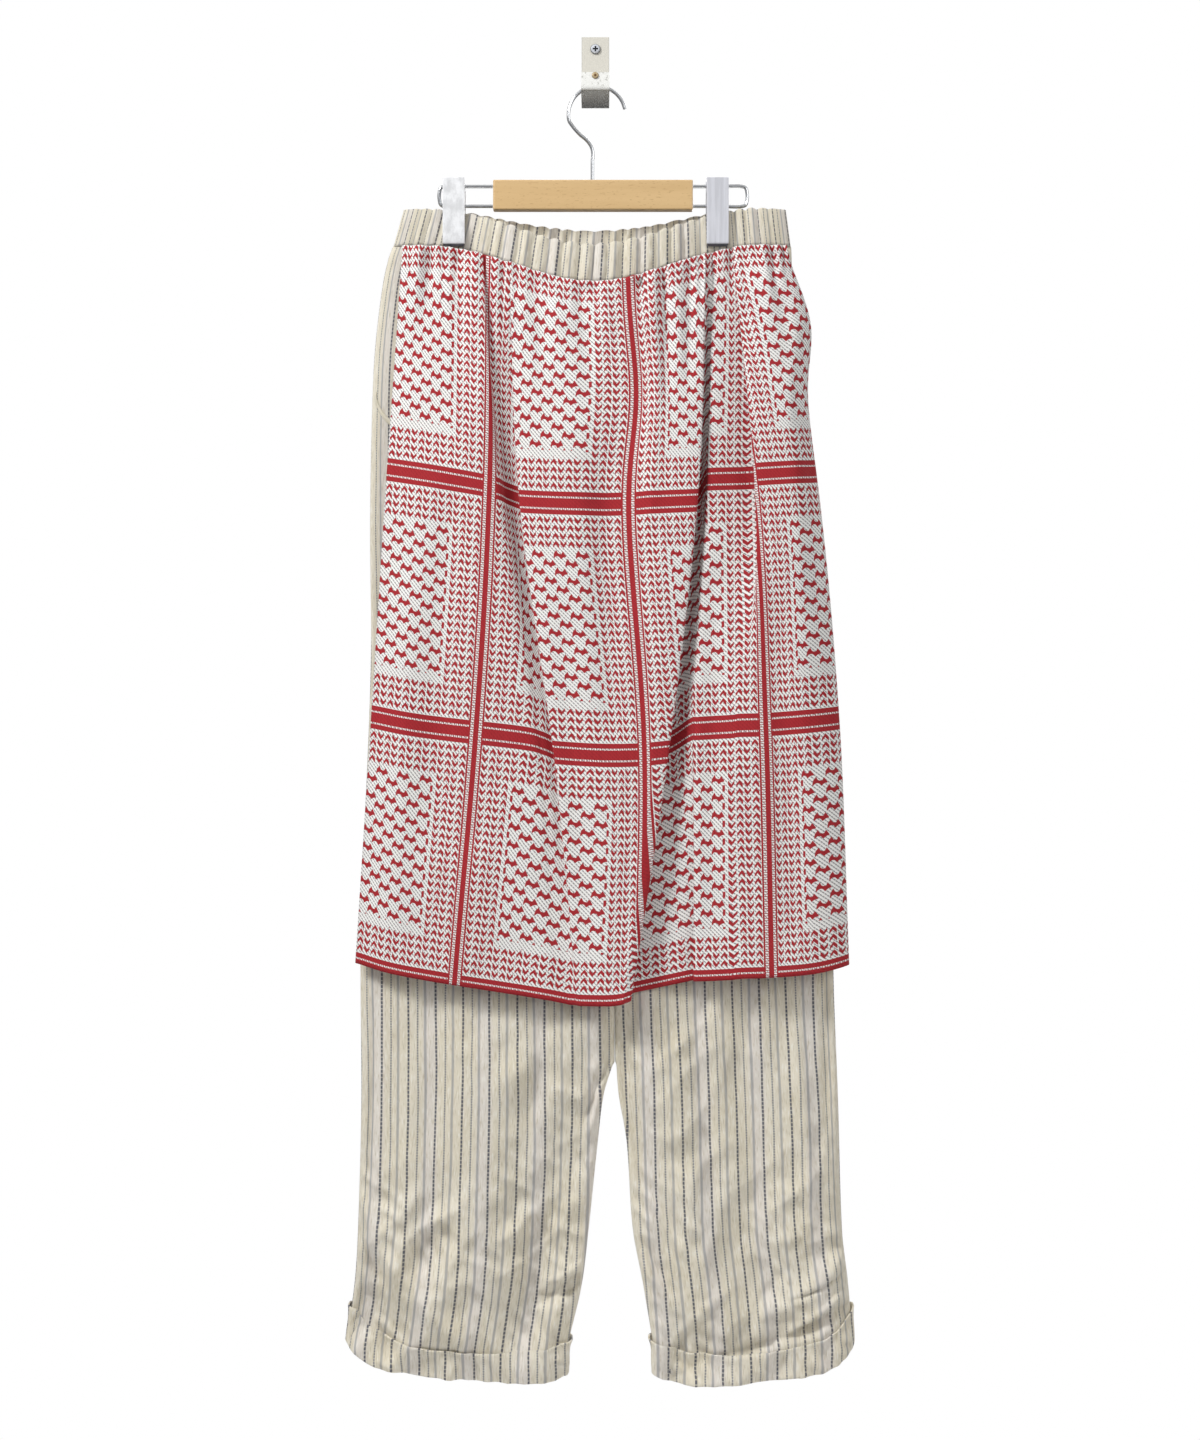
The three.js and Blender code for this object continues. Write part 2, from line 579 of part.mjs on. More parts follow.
function bar() {
  const { left, right, top, foot, deep, round } = BAR;
  const outline = new THREE.Shape();
  outline.moveTo(left + round, foot);
  outline.lineTo(right - round, foot);
  outline.absarc(right - round, foot + round, round, -Math.PI / 2, 0);
  outline.lineTo(right, top - round);
  outline.absarc(right - round, top - round, round, 0, Math.PI / 2);
  outline.lineTo(left + round, top);
  outline.absarc(left + round, top - round, round, Math.PI / 2, Math.PI);
  outline.lineTo(left, foot + round);
  outline.absarc(left + round, foot + round, round, Math.PI, 1.5 * Math.PI);
  const geometry = new THREE.ExtrudeGeometry(outline, { depth: deep, bevelEnabled: false, curveSegments: 4 });
  geometry.rotateX(Math.PI / 2);
  geometry.translate(0, HANG_Y + deep / 2, 0);
  return geometry;
}

// Half of the wire loop, from one end of the bar round its corner and back
function wireLoop(isLeft) {
  const start = isLeft ? BAR.left - SEAM_GAP : BAR.right + SEAM_GAP;
  const end = isLeft ? LOOP.left + WIRE : LOOP.right - WIRE;
  const inward = isLeft ? 1 : -1;
  const corner = LOOP.round;
  const spots = [
    [start, LOOP.top], [mix(start, end, 0.5), LOOP.top], [end + inward * corner, LOOP.top],
    [end + inward * corner * 0.3, LOOP.top - corner * 0.3], [end, LOOP.top - corner],
    [end, LOOP.foot + corner], [end + inward * corner * 0.3, LOOP.foot + corner * 0.3],
    [end + inward * corner, LOOP.foot], [mix(start, end, 0.5), LOOP.foot], [start, LOOP.foot],
  ];
  return rod(spots.map(([x, z]) => new THREE.Vector3(x, HANG_Y, z)), WIRE, 20);
}

// A clip's plate, in front of or behind the band, and the jaw at its foot that holds the cloth
function clipPlate(centre, isFront) {
  const { wide, top, foot, inner, corner } = CLIP;
  const thick = Math.abs(CLIP.front - HANG_Y) - inner;
  const half = wide / 2;
  const outline = new THREE.Shape();
  outline.moveTo(-half + corner, foot);
  outline.lineTo(half - corner, foot);
  outline.lineTo(half, foot + corner);
  outline.lineTo(half, top - corner);
  outline.lineTo(half - corner, top);
  outline.lineTo(-half + corner, top);
  outline.lineTo(-half, top - corner);
  outline.lineTo(-half, foot + corner);
  outline.closePath();
  const geometry = new THREE.ExtrudeGeometry(outline, { depth: thick, bevelEnabled: false });
  geometry.rotateX(Math.PI / 2);
  const face = isFront ? -1 : 1;
  geometry.translate(centre, isFront ? HANG_Y - inner : HANG_Y + inner + thick, 0);
  const jaw = new THREE.BoxGeometry(JAW.wide, inner + 1 - JAW.inner, JAW.tall);
  jaw.translate(centre, HANG_Y + face * (JAW.inner + inner + 1) / 2, foot + 1 + JAW.tall / 2);
  return fromSolid(toSolid(geometry).add(toSolid(jaw)));
}

function clipBarrel(centre) {
  const geometry = new THREE.CylinderGeometry(CLIP.barrel, CLIP.barrel, CLIP.wide - 4, 16);
  geometry.rotateZ(Math.PI / 2);
  geometry.translate(centre, HANG_Y, (LOOP.top + LOOP.foot) / 2);
  return geometry;
}

// The model

add('wall_bracket', bracket(), LOOKS.plate);
add('wall_screw', screw(), LOOKS.steel);
add('lip_rivet', disc(RIVET.radius, RIVET.tall, -BRACKET.reach - SEAM_GAP, RIVET.z), LOOKS.brass);
add('hanger_hook', hook(), LOOKS.steel);
add('hanger_bar', bar(), LOOKS.beech);
for (const [name, isLeft, centre] of [['left', true, PINCH.left], ['right', false, PINCH.right]]) {
  add(`wire_loop_${name}`, wireLoop(isLeft), LOOKS.steel);
  add(`clip_${name}_front`, clipPlate(centre, true), LOOKS.plate);
  add(`clip_${name}_back`, clipPlate(centre, false), LOOKS.plate);
  add(`clip_${name}_barrel`, clipBarrel(centre), LOOKS.steel);
}
add('waistband_front', bandWall(true), LOOKS.trouser);
add('waistband_back', bandWall(false), LOOKS.trouser);
for (const isLeft of [true, false]) {
  for (const isFront of [true, false]) {
    const name = panelName(isLeft, isFront);
    add(`leg_${name}`, legPanel(isLeft, isFront), LOOKS.trouser);
    add(`cuff_${name}`, cuffPanel(isLeft, isFront), LOOKS.trouser);
  }
}
add('pocket_lip', pocketLip(), LOOKS.trouser);
add('apron', apron(), LOOKS.apron);

export default model;
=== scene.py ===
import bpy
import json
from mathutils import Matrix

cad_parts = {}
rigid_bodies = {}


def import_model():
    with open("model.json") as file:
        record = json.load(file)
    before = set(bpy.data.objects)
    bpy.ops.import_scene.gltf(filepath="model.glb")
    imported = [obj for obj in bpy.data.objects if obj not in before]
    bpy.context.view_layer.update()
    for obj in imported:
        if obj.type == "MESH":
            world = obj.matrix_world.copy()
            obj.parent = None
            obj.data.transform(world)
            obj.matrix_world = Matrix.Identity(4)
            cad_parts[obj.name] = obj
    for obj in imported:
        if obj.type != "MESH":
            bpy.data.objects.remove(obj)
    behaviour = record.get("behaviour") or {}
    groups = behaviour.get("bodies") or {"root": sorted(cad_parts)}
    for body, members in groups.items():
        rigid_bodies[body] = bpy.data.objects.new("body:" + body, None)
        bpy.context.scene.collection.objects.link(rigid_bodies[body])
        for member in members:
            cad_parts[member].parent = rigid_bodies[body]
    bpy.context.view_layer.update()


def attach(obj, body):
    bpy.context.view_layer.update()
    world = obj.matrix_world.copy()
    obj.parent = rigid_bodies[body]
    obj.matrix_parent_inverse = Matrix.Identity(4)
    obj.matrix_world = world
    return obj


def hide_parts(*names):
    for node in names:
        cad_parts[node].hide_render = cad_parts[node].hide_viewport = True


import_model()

# Wide-leg striped trousers with a gathered scarf apron, clipped to a hanger on a wall bracket.
# Sizes are in millimetres, in the part's own frame, and MM turns them into metres in the meshes.

import json
import logging
import math
from dataclasses import dataclass
from enum import Enum
from functools import lru_cache
from typing import Callable, Sequence, Union

import bpy
from mathutils import Vector, noise

LOG = logging.getLogger("pants")
MM = 0.001
BODY = "root"

Socket = bpy.types.NodeSocket
Number = Union[float, Socket]
Colour = tuple[float, float, float]
Surface = Callable[[float, float], Vector]
Flat = Callable[[float, float, Vector], tuple[float, float]]


class Side(Enum):
    """A side of the garment, as the viewer sees it."""

    LEFT = "left"
    RIGHT = "right"

    @property
    def hand(self) -> int:
        """The way along x from the side seam to the middle."""
        return 1 if self is Side.LEFT else -1


class Half(Enum):
    """The front or the back of the garment."""

    FRONT = "front"
    BACK = "back"

    @property
    def face(self) -> int:
        """The way along y out of the hanging plane."""
        return -1 if self is Half.FRONT else 1


HANG_Y = -62.0
CLIP_X = {Side.LEFT: -119.8, Side.RIGHT: 103.6}
BAR_X = {Side.LEFT: -86.7, Side.RIGHT: 82.8}
LOOP_X = {Side.LEFT: -133.7, Side.RIGHT: 130.2}


# Small sums


def clamp01(value: float) -> float:
    """Holds a value between 0 and 1."""
    return min(1.0, max(0.0, value))


def mix(a: float, b: float, share: float) -> float:
    """Goes from a to b as share goes from 0 to 1."""
    return a + (b - a) * share


def ease(value: float) -> float:
    """A soft step from 0 to 1."""
    t = clamp01(value)
    return t * t * (3 - 2 * t)


def bump_at(away: float, width: float) -> float:
    """A soft hill, 1 at its middle."""
    return math.exp(-((away / width) ** 2))


def even(count: int, start: float = 0.0, end: float = 1.0) -> list[float]:
    """Evenly spaced shares.

    Args:
        count: how many steps.
        start: the first share.
        end: the last share.

    Returns:
        count + 1 numbers.
    """
    return [mix(start, end, i / count) for i in range(count + 1)]


def smooth_at(stations: Sequence[float], values: Sequence[float], at: float) -> float:
    """Reads a smooth curve through (stations, values) at one station.

    Args:
        stations: the places of the values, rising or falling.
        values: one value for each station.
        at: the place to read.

    Returns:
        The value there, held past both ends.
    """
    last = len(stations) - 1
    rising = 1 if stations[last] > stations[0] else -1
    i = 0
    while i < last - 1 and (at - stations[i + 1]) * rising > 0:
        i += 1
    step = stations[i + 1] - stations[i]
    t = clamp01((at - stations[i]) / step)

    def slope(k: int) -> float:
        """The curve's slope at station k."""
        a, b = max(0, k - 1), min(last, k + 1)
        return (values[b] - values[a]) / (stations[b] - stations[a])

    t2, t3 = t * t, t * t * t
    return (
        (2 * t3 - 3 * t2 + 1) * values[i]
        + (t3 - 2 * t2 + t) * step * slope(i)
        + (3 * t2 - 2 * t3) * values[i + 1]
        + (t3 - t2) * step * slope(i + 1)
    )


def ripple(x: float, z: float, coarse: float, seed: float) -> float:
    """Soft unevenness of cloth, the same in each run, from -1 to 1.

    Args:
        x: place across.
        z: place down.
        coarse: size of the waves in mm.
        seed: which cloth.

    Returns:
        A smooth value.
    """
    return noise.noise(Vector((x / coarse, z / coarse, seed)))


def crumple(x: float, z: float, coarse: float, seed: float) -> float:
    """Sharp little creases of washed cloth, from -1 in a dip to 1 on a ridge.

    Args:
        x: place across.
        z: place down.
        coarse: size of the creases in mm.
        seed: which cloth.

    Returns:
        A value with sharp ridges and soft dips, in slanting runs.
    """
    along, over = 0.8 * z + 0.6 * x, 0.8 * x - 0.6 * z
    return max(-1.0, 1 - 4 * abs(noise.noise(Vector((over / coarse, along / (2.2 * coarse), seed)))))


# Meshes


def deselect() -> None:
    """Leaves nothing selected, so that an operator acts on the new piece alone."""
    for thing in bpy.context.view_layer.objects:
        thing.select_set(False)


def choose(piece: bpy.types.Object) -> None:
    """Selects one piece and makes it active."""
    deselect()
    piece.select_set(True)
    bpy.context.view_layer.objects.active = piece


def settle(piece: bpy.types.Object) -> bpy.types.Object:
    """Applies a piece's modifiers and puts its place into its mesh."""
    choose(piece)
    for modifier in list(piece.modifiers):
        bpy.ops.object.modifier_apply(modifier=modifier.name)
    bpy.ops.object.transform_apply(location=True, rotation=True, scale=True)
    return piece


def cloth(
    name: str,
    point: Surface,
    flat: Flat,
    across: Sequence[float],
    down: Sequence[float],
    wall: float,
    facing: Vector,
) -> bpy.types.Object:
    """Makes a sheet of cloth with a real thickness.

    Args:
        name: the piece's name.
        point: the cloth's middle for shares across and down, in mm.
        flat: the place in the flat cloth for the same shares and their point, in mm.
        across: the shares across.
        down: the shares down.
        wall: its thickness in mm.
        facing: the way its right side looks.

    Returns:
        The finished object, with a UV map in metres of flat cloth.
    """
    wide = len(across)
    places = [(u, v, point(u, v)) for v in down for u in across]
    flats = [flat(u, v, p) for u, v, p in places]
    points = [p * MM for _, _, p in places]
    mid = (len(down) // 2) * wide + wide // 2
    normal = (points[mid + 1] - points[mid - 1]).cross(points[mid + wide] - points[mid - wide])
    outward = normal.dot(facing) > 0
    faces = []
    for j in range(len(down) - 1):
        for i in range(wide - 1):
            k = j * wide + i
            face = (k, k + 1, k + wide + 1, k + wide)
            faces.append(face if outward else face[::-1])
    mesh = bpy.data.meshes.new(name)
    mesh.from_pydata(points, [], faces)
    layer = mesh.uv_layers.new(name="cloth")
    for loop in mesh.loops:
        u, v = flats[loop.vertex_index]
        layer.data[loop.index].uv = (u * MM, v * MM)
    for face in mesh.polygons:
        face.use_smooth = True
    piece = bpy.data.objects.new(name, mesh)
    bpy.context.scene.collection.objects.link(piece)
    thick = piece.modifiers.new("wall", "SOLIDIFY")
    thick.thickness = wall * MM
    thick.offset = 0
    return settle(piece)


def block(name: str, low: Vector, high: Vector) -> bpy.types.Object:
    """Adds a box from its two corners, in mm, shaped in edit mode."""
    deselect()
    bpy.ops.mesh.primitive_cube_add(size=1)
    piece = bpy.context.view_layer.objects.active
    piece.name = piece.data.name = name
    bpy.ops.object.mode_set(mode="EDIT")
    bpy.ops.transform.resize(value=(high - low) * MM)
    bpy.ops.transform.translate(value=(low + high) * MM / 2)
    bpy.ops.object.mode_set(mode="OBJECT")
    return piece


def pick(piece: bpy.types.Object, test: Callable[[Vector, Vector], bool]) -> None:
    """Selects the faces whose middle and normal pass a test, and opens edit mode."""
    choose(piece)
    bpy.ops.object.mode_set(mode="EDIT")
    bpy.ops.mesh.select_mode(type="FACE")
    bpy.ops.mesh.select_all(action="DESELECT")
    bpy.ops.object.mode_set(mode="OBJECT")
    for face in piece.data.polygons:
        face.select = test(face.center, face.normal)
    bpy.ops.object.mode_set(mode="EDIT")


def push(way: Vector) -> None:
    """Extrudes the selected faces, in mm."""
    bpy.ops.mesh.extrude_region_move(TRANSFORM_OT_translate={"value": way * MM})


def soften(piece: bpy.types.Object, width: float) -> bpy.types.Object:
    """Rounds a piece's edges by a width in mm and applies it."""
    bpy.ops.object.mode_set(mode="OBJECT")
    bevel = piece.modifiers.new("edges", "BEVEL")
    bevel.width = width * MM
    bevel.segments = 3
    bevel.limit_method = "ANGLE"
    bevel.angle_limit = math.radians(28)
    return settle(piece)


def dress(piece: bpy.types.Object, look: bpy.types.Material, slot: str, *nodes: str) -> bpy.types.Object:
    """Gives a piece its finish and its place in the model.

    Args:
        piece: the finished object.
        look: its material.
        slot: the record's material slot, which is not used.
        nodes: the CAD nodes it stands for.

    Returns:
        The same piece.
    """
    piece.data.materials.clear()
    piece.data.materials.append(look)
    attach(piece, BODY)
    if nodes:
        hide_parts(*nodes)
    LOG.info("made %s", piece.name)
    return piece


# Shader writing


class Draft:
    """Writes nodes into one material or group, from small named steps."""

    def __init__(self, tree: bpy.types.NodeTree) -> None:
        """Starts on an empty tree."""
        self.tree = tree
        self.count = 0

    def add(self, kind: str, **settings: object) -> bpy.types.Node:
        """Adds one node and sets its properties."""
        node = self.tree.nodes.new(kind)
        node.location = (180 * (self.count % 12), -170 * (self.count // 12))
        self.count += 1
        for key, value in settings.items():
            setattr(node, key, value)
        return node

    def feed(self, socket: Socket, value: object) -> None:
        """Links a socket, or sets its value."""
        if isinstance(value, bpy.types.NodeSocket):
            self.tree.links.new(value, socket)
        else:
            socket.default_value = value

    def math(self, kind: str, a: Number, b: Number = 0.0) -> Socket:
        """One Math node."""
        node = self.add("ShaderNodeMath", operation=kind)
        for socket, value in zip(node.inputs, (a, b)):
            self.feed(socket, value)
        return node.outputs[0]

    def plus(self, a: Number, b: Number) -> Socket:
        """The sum of two values."""
        return self.math("ADD", a, b)

    def less(self, a: Number, b: Number) -> Socket:
        """One value taken from another."""
        return self.math("SUBTRACT", a, b)

    def times(self, a: Number, b: Number) -> Socket:
        """The product of two values."""
        return self.math("MULTIPLY", a, b)

    def below(self, a: Number, b: Number) -> Socket:
        """1 where a is less than b."""
        return self.math("LESS_THAN", a, b)

    def above(self, a: Number, b: Number) -> Socket:
        """1 where a is greater than b."""
        return self.math("GREATER_THAN", a, b)

    def either(self, *masks: Number) -> Socket:
        """The largest of some masks."""
        result = masks[0]
        for mask in masks[1:]:
            result = self.math("MAXIMUM", result, mask)
        return result

    def both(self, *masks: Number) -> Socket:
        """The product of some masks."""
        result = masks[0]
        for mask in masks[1:]:
            result = self.times(result, mask)
        return result

    def between(self, value: Number, low: float, high: float) -> Socket:
        """1 where a value lies between two bounds."""
        return self.both(self.above(value, low), self.below(value, high))

    def soft(self, value: Number, low: float, high: float) -> Socket:
        """A soft step between two bounds."""
        node = self.add("ShaderNodeMapRange", interpolation_type="SMOOTHSTEP")
        self.feed(node.inputs["Value"], value)
        node.inputs["From Min"].default_value = low
        node.inputs["From Max"].default_value = high
        return node.outputs["Result"]

    def turn(self, value: Number, period: float) -> Socket:
        """The place within a repeat, from 0 to 1."""
        return self.math("FRACT", self.math("DIVIDE", value, period))

    def near(self, value: Number, centre: float, period: float) -> Socket:
        """The signed distance from the nearest of many evenly spaced centres."""
        shifted = self.turn(self.less(value, centre - period / 2), period)
        return self.times(self.less(shifted, 0.5), period)

    def size(self, value: Number) -> Socket:
        """A value without its sign."""
        return self.math("ABSOLUTE", value)

    def blend(self, share: Number, a: object, b: object) -> Socket:
        """Mixes two colours."""
        node = self.add("ShaderNodeMix", data_type="RGBA")
        self.feed(node.inputs["Factor"], share)
        for name, value in (("A", a), ("B", b)):
            socket = next(s for s in node.inputs if s.name == name and s.type == "RGBA")
            self.feed(socket, (*value, 1.0) if isinstance(value, tuple) else value)
        return next(s for s in node.outputs if s.type == "RGBA")

    def cloud(self, where: Socket, scale: float, detail: float = 3.0, rough: float = 0.55) -> Socket:
        """Even noise, about 0.5 in the middle."""
        node = self.add("ShaderNodeTexNoise")
        self.feed(node.inputs["Vector"], where)
        node.inputs["Scale"].default_value = scale
        node.inputs["Detail"].default_value = detail
        node.inputs["Roughness"].default_value = rough
        return node.outputs["Fac"]

    def stretch(self, where: Socket, scale: tuple[float, float, float]) -> Socket:
        """Places stretched along each axis."""
        node = self.add("ShaderNodeMapping")
        self.feed(node.inputs["Vector"], where)
        node.inputs["Scale"].default_value = scale
        return node.outputs["Vector"]

    def chart(self, value: Number, rows: Sequence[tuple[float, float]]) -> Socket:
        """Reads a line drawn through given (value, result) points."""
        low, high = rows[0][0], rows[-1][0]
        least = min(result for _, result in rows)
        reach = max(result for _, result in rows) - least
        node = self.add("ShaderNodeFloatCurve")
        points = node.mapping.curves[0].points
        for _ in rows[2:]:
            points.new(0.5, 0.5)
        for point, (at, result) in zip(points, rows):
            point.location = ((at - low) / (high - low), (result - least) / reach)
            point.handle_type = "VECTOR"
        node.mapping.update()
        self.feed(node.inputs["Value"], self.math("DIVIDE", self.less(value, low), high - low))
        return self.plus(self.times(node.outputs["Value"], reach), least)

    def place(self, kind: str) -> Socket:
        """The texture coordinate of one kind."""
        return self.add("ShaderNodeTexCoord").outputs[kind]

    def millimetres(self, where: Socket) -> list[Socket]:
        """The three parts of a place, in mm."""
        parts = self.add("ShaderNodeSeparateXYZ")
        self.feed(parts.inputs[0], where)
        return [self.times(part, 1 / MM) for part in parts.outputs]


def srgb(red: int, green: int, blue: int) -> Colour:
    """A linear colour from the 0 to 255 values of a colour chart."""

    def straight(value: int) -> float:
        """One channel."""
        share = value / 255
        return share / 12.92 if share <= 0.04045 else ((share + 0.055) / 1.055) ** 2.4

    return straight(red), straight(green), straight(blue)


def start_group(name: str, inputs: Sequence[tuple[str, str]], outputs: Sequence[tuple[str, str]]) -> Draft:
    """Starts a node group with named sockets.

    Args:
        name: the group's name.
        inputs: name and socket type of each input.
        outputs: name and socket type of each output.

    Returns:
        A draft on the new group, whose ends are its first two nodes.
    """
    tree = bpy.data.node_groups.new(name, "ShaderNodeTree")
    for way, rows in (("INPUT", inputs), ("OUTPUT", outputs)):
        for label, kind in rows:
            tree.interface.new_socket(name=label, in_out=way, socket_type=kind)
    draft = Draft(tree)
    draft.add("NodeGroupInput")
    draft.add("NodeGroupOutput")
    return draft


def use_group(draft: Draft, group: bpy.types.NodeTree, **inputs: object) -> bpy.types.Node:
    """Places a group in a material with its own values."""
    node = draft.add("ShaderNodeGroup", node_tree=group)
    for label, value in inputs.items():
        draft.feed(node.inputs[label], value)
    return node


@dataclass(frozen=True)
class Stroke:
    """One upright slice of the small bow motif: its place across, its top and its foot, in mm."""

    across: float
    top: float
    foot: float


BOW = [
    Stroke(-5.7, 1.6, 3.3), Stroke(-5.2, -1.0, 3.2), Stroke(-4.4, -2.1, 2.2), Stroke(-3.6, -2.9, 1.5),
    Stroke(-3.1, -4.2, 1.4), Stroke(-2.4, -3.1, 1.4), Stroke(-1.7, -1.6, 1.4), Stroke(-0.9, -0.9, 1.8),
    Stroke(0.0, -0.6, 2.8), Stroke(0.8, -0.5, 4.0), Stroke(1.6, -0.6, 3.5), Stroke(2.3, -1.7, 2.8),
    Stroke(3.0, -3.0, 2.4), Stroke(3.7, -2.2, 2.1), Stroke(4.6, -0.8, 1.9), Stroke(5.7, 0.9, 2.0),
]


@dataclass(frozen=True)
class Repeat:
    """The scarf's repeat, in mm of flat cloth."""

    across: float = 162.0
    first_stripe: float = 90.0
    down: float = 210.5
    first_band: float = 192.0
    last_band: float = 402.5
    hem: float = 608.0
    stripe_half: float = 6.5
    ladder_out: float = 5.0
    ladder_in: float = 2.3
    band_half: float = 9.75
    dash_out: float = 5.65
    dash_in: float = 4.15
    tooth_wide: float = 6.5
    tooth_tall: float = 6.72
    teeth_beside: int = 4
    teeth_between: int = 14
    tooth_rows: int = 28
    tooth_half: float = 2.65
    tooth_rise: float = 1.45
    tooth_slope: float = 1.25
    tooth_stroke: float = 1.35
    tooth_swell: float = 0.55
    field_edge: float = 34.6
    field_top: float = 37.9
    bow_pitch: float = 20.0
    bow_rise: float = 14.6
    first_bow: float = 41.0
    first_row: float = 43.5
    twill_step: float = 3.5
    dash_step: float = 1.9
    ladder_step: float = 2.0


class ScarfWeave:
    """The woven scarf pattern, as masks over the flat cloth in a node group."""

    def __init__(self) -> None:
        """Starts the group and finds the place in the repeat, in mm."""
        self.repeat = r = Repeat()
        self.draft = draft = start_group(
            "scarf weave",
            [("Place", "NodeSocketVector")],
            [(name, "NodeSocketFloat") for name in ("Red", "Twill", "Weave")],
        )
        start, self.end = draft.tree.nodes[0], draft.tree.nodes[1]
        self.u, raw, _ = draft.millimetres(start.outputs["Place"])
        # The last repeat is a little shorter, because the hem turns up through a band
        late = draft.math("MAXIMUM", draft.less(raw, r.last_band), 0.0)
        self.v = draft.plus(raw, draft.times(late, r.down / (r.hem - r.last_band) - 1))
        self.across = draft.times(draft.turn(draft.less(self.u, r.first_stripe), r.across), r.across)
        self.down = draft.times(draft.turn(draft.less(self.v, r.first_band), r.down), r.down)
        self.from_stripe = draft.size(draft.near(self.u, r.first_stripe, r.across))
        self.from_band = draft.size(draft.near(self.v, r.first_band, r.down))
        self.beside = r.teeth_beside * r.tooth_wide
        self.row_start = (r.down - r.tooth_rows * r.tooth_tall) / 2

    def teeth(self) -> Socket:
        """Zigzag teeth, in columns beside the stripes and rows beside the bands."""
        draft, r = self.draft, self.repeat
        far = r.across - r.stripe_half - self.beside
        middle = far - r.stripe_half - self.beside
        steps = [
            (r.stripe_half, self.beside, r.tooth_wide),
            (r.stripe_half + self.beside, middle, middle / r.teeth_between),
            (far, self.beside, r.tooth_wide),
        ]
        tooth: Number = 0.0
        for start, length, pitch in steps:
            run = draft.math("MINIMUM", draft.math("MAXIMUM", draft.less(self.across, start), 0.0), length)
            tooth = draft.plus(tooth, draft.math("DIVIDE", run, pitch))
        p = draft.times(draft.less(draft.math("FRACT", tooth), 0.5), r.tooth_wide)
        row = draft.math("DIVIDE", draft.less(self.down, self.row_start), r.tooth_tall)
        q = draft.times(draft.less(draft.math("FRACT", row), 0.5), r.tooth_tall)
        odd = draft.above(draft.turn(draft.math("FLOOR", tooth), 2.0), 0.25)
        sign = draft.less(1.0, draft.times(odd, 2.0))
        slant = draft.less(r.tooth_rise, draft.times(draft.size(p), r.tooth_slope))
        stroke = draft.size(draft.less(draft.times(q, sign), slant))
        # The arm that lies along the twill is the thicker one
        along_twill = draft.below(draft.times(p, sign), 0.0)
        thick = draft.plus(r.tooth_stroke, draft.times(along_twill, r.tooth_swell))
        return draft.both(draft.below(stroke, thick), draft.below(draft.size(p), r.tooth_half))

    def bows(self) -> Socket:
        """Bows, in two sets of columns with their own rows, and half bows at the field's edges."""
        draft, r = self.draft, self.repeat
        shapes = []
        for shift in (0.0, 0.5):
            x = draft.near(self.across, r.first_bow + shift * r.bow_pitch, r.bow_pitch)
            y = draft.near(self.down, r.first_row + shift * r.bow_rise, r.bow_rise)
            under = draft.above(y, draft.chart(x, [(s.across, s.top) for s in BOW]))
            over = draft.below(y, draft.chart(x, [(s.across, s.foot) for s in BOW]))
            shape = draft.both(draft.below(draft.size(x), BOW[-1].across), under, over)
            low = r.first_row + 1 if shift else r.first_row - 5
            shapes.append(draft.both(shape, draft.between(self.down, low, r.down - low)))
        rise = draft.near(self.down, r.first_row + 0.5 * r.bow_rise, r.bow_rise)
        edge = draft.below(draft.size(draft.less(self.from_stripe, r.field_edge + 1.2)), 1.1)
        rows = draft.between(self.down, r.first_row, r.down - r.first_row)
        half_bow = draft.both(edge, draft.below(draft.size(rise), 2.5), rows)
        return draft.either(*shapes, half_bow)

    def with_gaps(self, whole: Socket, away: Socket, low: float, high: float, shown: Socket) -> Socket:
        """A red strip with a broken white line between two distances from its middle."""
        gap = self.draft.both(self.draft.between(away, low, high), shown)
        return self.draft.both(whole, self.draft.less(1.0, gap))

    def build(self) -> bpy.types.NodeTree:
        """Puts the pattern together.

        Returns:
            A group with Red, Twill and Weave outputs.
        """
        draft, r = self.draft, self.repeat
        rows = draft.between(self.down, r.field_top, r.down - r.field_top)
        field = draft.both(draft.between(self.across, r.field_edge, r.across - r.field_edge), rows)
        strip = draft.both(draft.between(self.from_stripe, r.stripe_half + self.beside, r.field_edge), rows)
        zigzag = draft.both(self.teeth(), draft.less(1.0, draft.either(field, strip)))
        bow = draft.both(self.bows(), field)

        # Stripes pass over bands
        in_band = draft.below(self.from_band, r.band_half)
        dashes = draft.above(draft.turn(self.u, r.dash_step), 0.28)
        band = self.with_gaps(in_band, self.from_band, r.dash_in, r.dash_out, dashes)
        in_stripe = draft.below(self.from_stripe, r.stripe_half)
        rungs = draft.above(draft.turn(self.v, r.ladder_step), 0.3)
        stripe = self.with_gaps(in_stripe, self.from_stripe, r.ladder_in, r.ladder_out, rungs)
        off = draft.less(1.0, draft.either(in_band, draft.between(self.from_band, 0.0, self.row_start)))
        red = draft.plus(draft.both(zigzag, off), bow)
        red = draft.either(draft.both(red, draft.less(1.0, in_band)), band)
        red = draft.plus(draft.both(red, draft.less(1.0, in_stripe)), stripe)

        # Fine diagonal twill, with darker ticks
        slope = draft.turn(draft.less(self.v, self.u), r.twill_step)
        over = draft.turn(draft.plus(self.u, self.v), r.twill_step)
        masks = {
            "Red": draft.math("MINIMUM", red, 1.0),
            "Twill": draft.both(draft.below(slope, 0.38), draft.above(over, 0.2)),
            "Weave": draft.math("SINE", draft.times(slope, math.tau)),
        }
        for name, value in masks.items():
            draft.feed(self.end.inputs[name], value)
        return draft.tree


@dataclass(frozen=True)
class Pin:
    """One stripe of the trouser cloth: its place in the repeat, its soft edge and its breaks, in mm."""

    centre: float
    edge: tuple[float, float]
    step: float
    gap: float


PIN_REPEAT = 23.5
PIN_SWAY = 4.5
PINS = {"Bold": Pin(0.0, (0.6, 1.15), 3.4, 0.3), "Fine": Pin(8.2, (0.4, 0.95), 2.2, 0.45)}
SOFT_PIN, SOFT_EDGE = 14.6, (0.6, 1.5)
WEAVE_STEP = 1.1


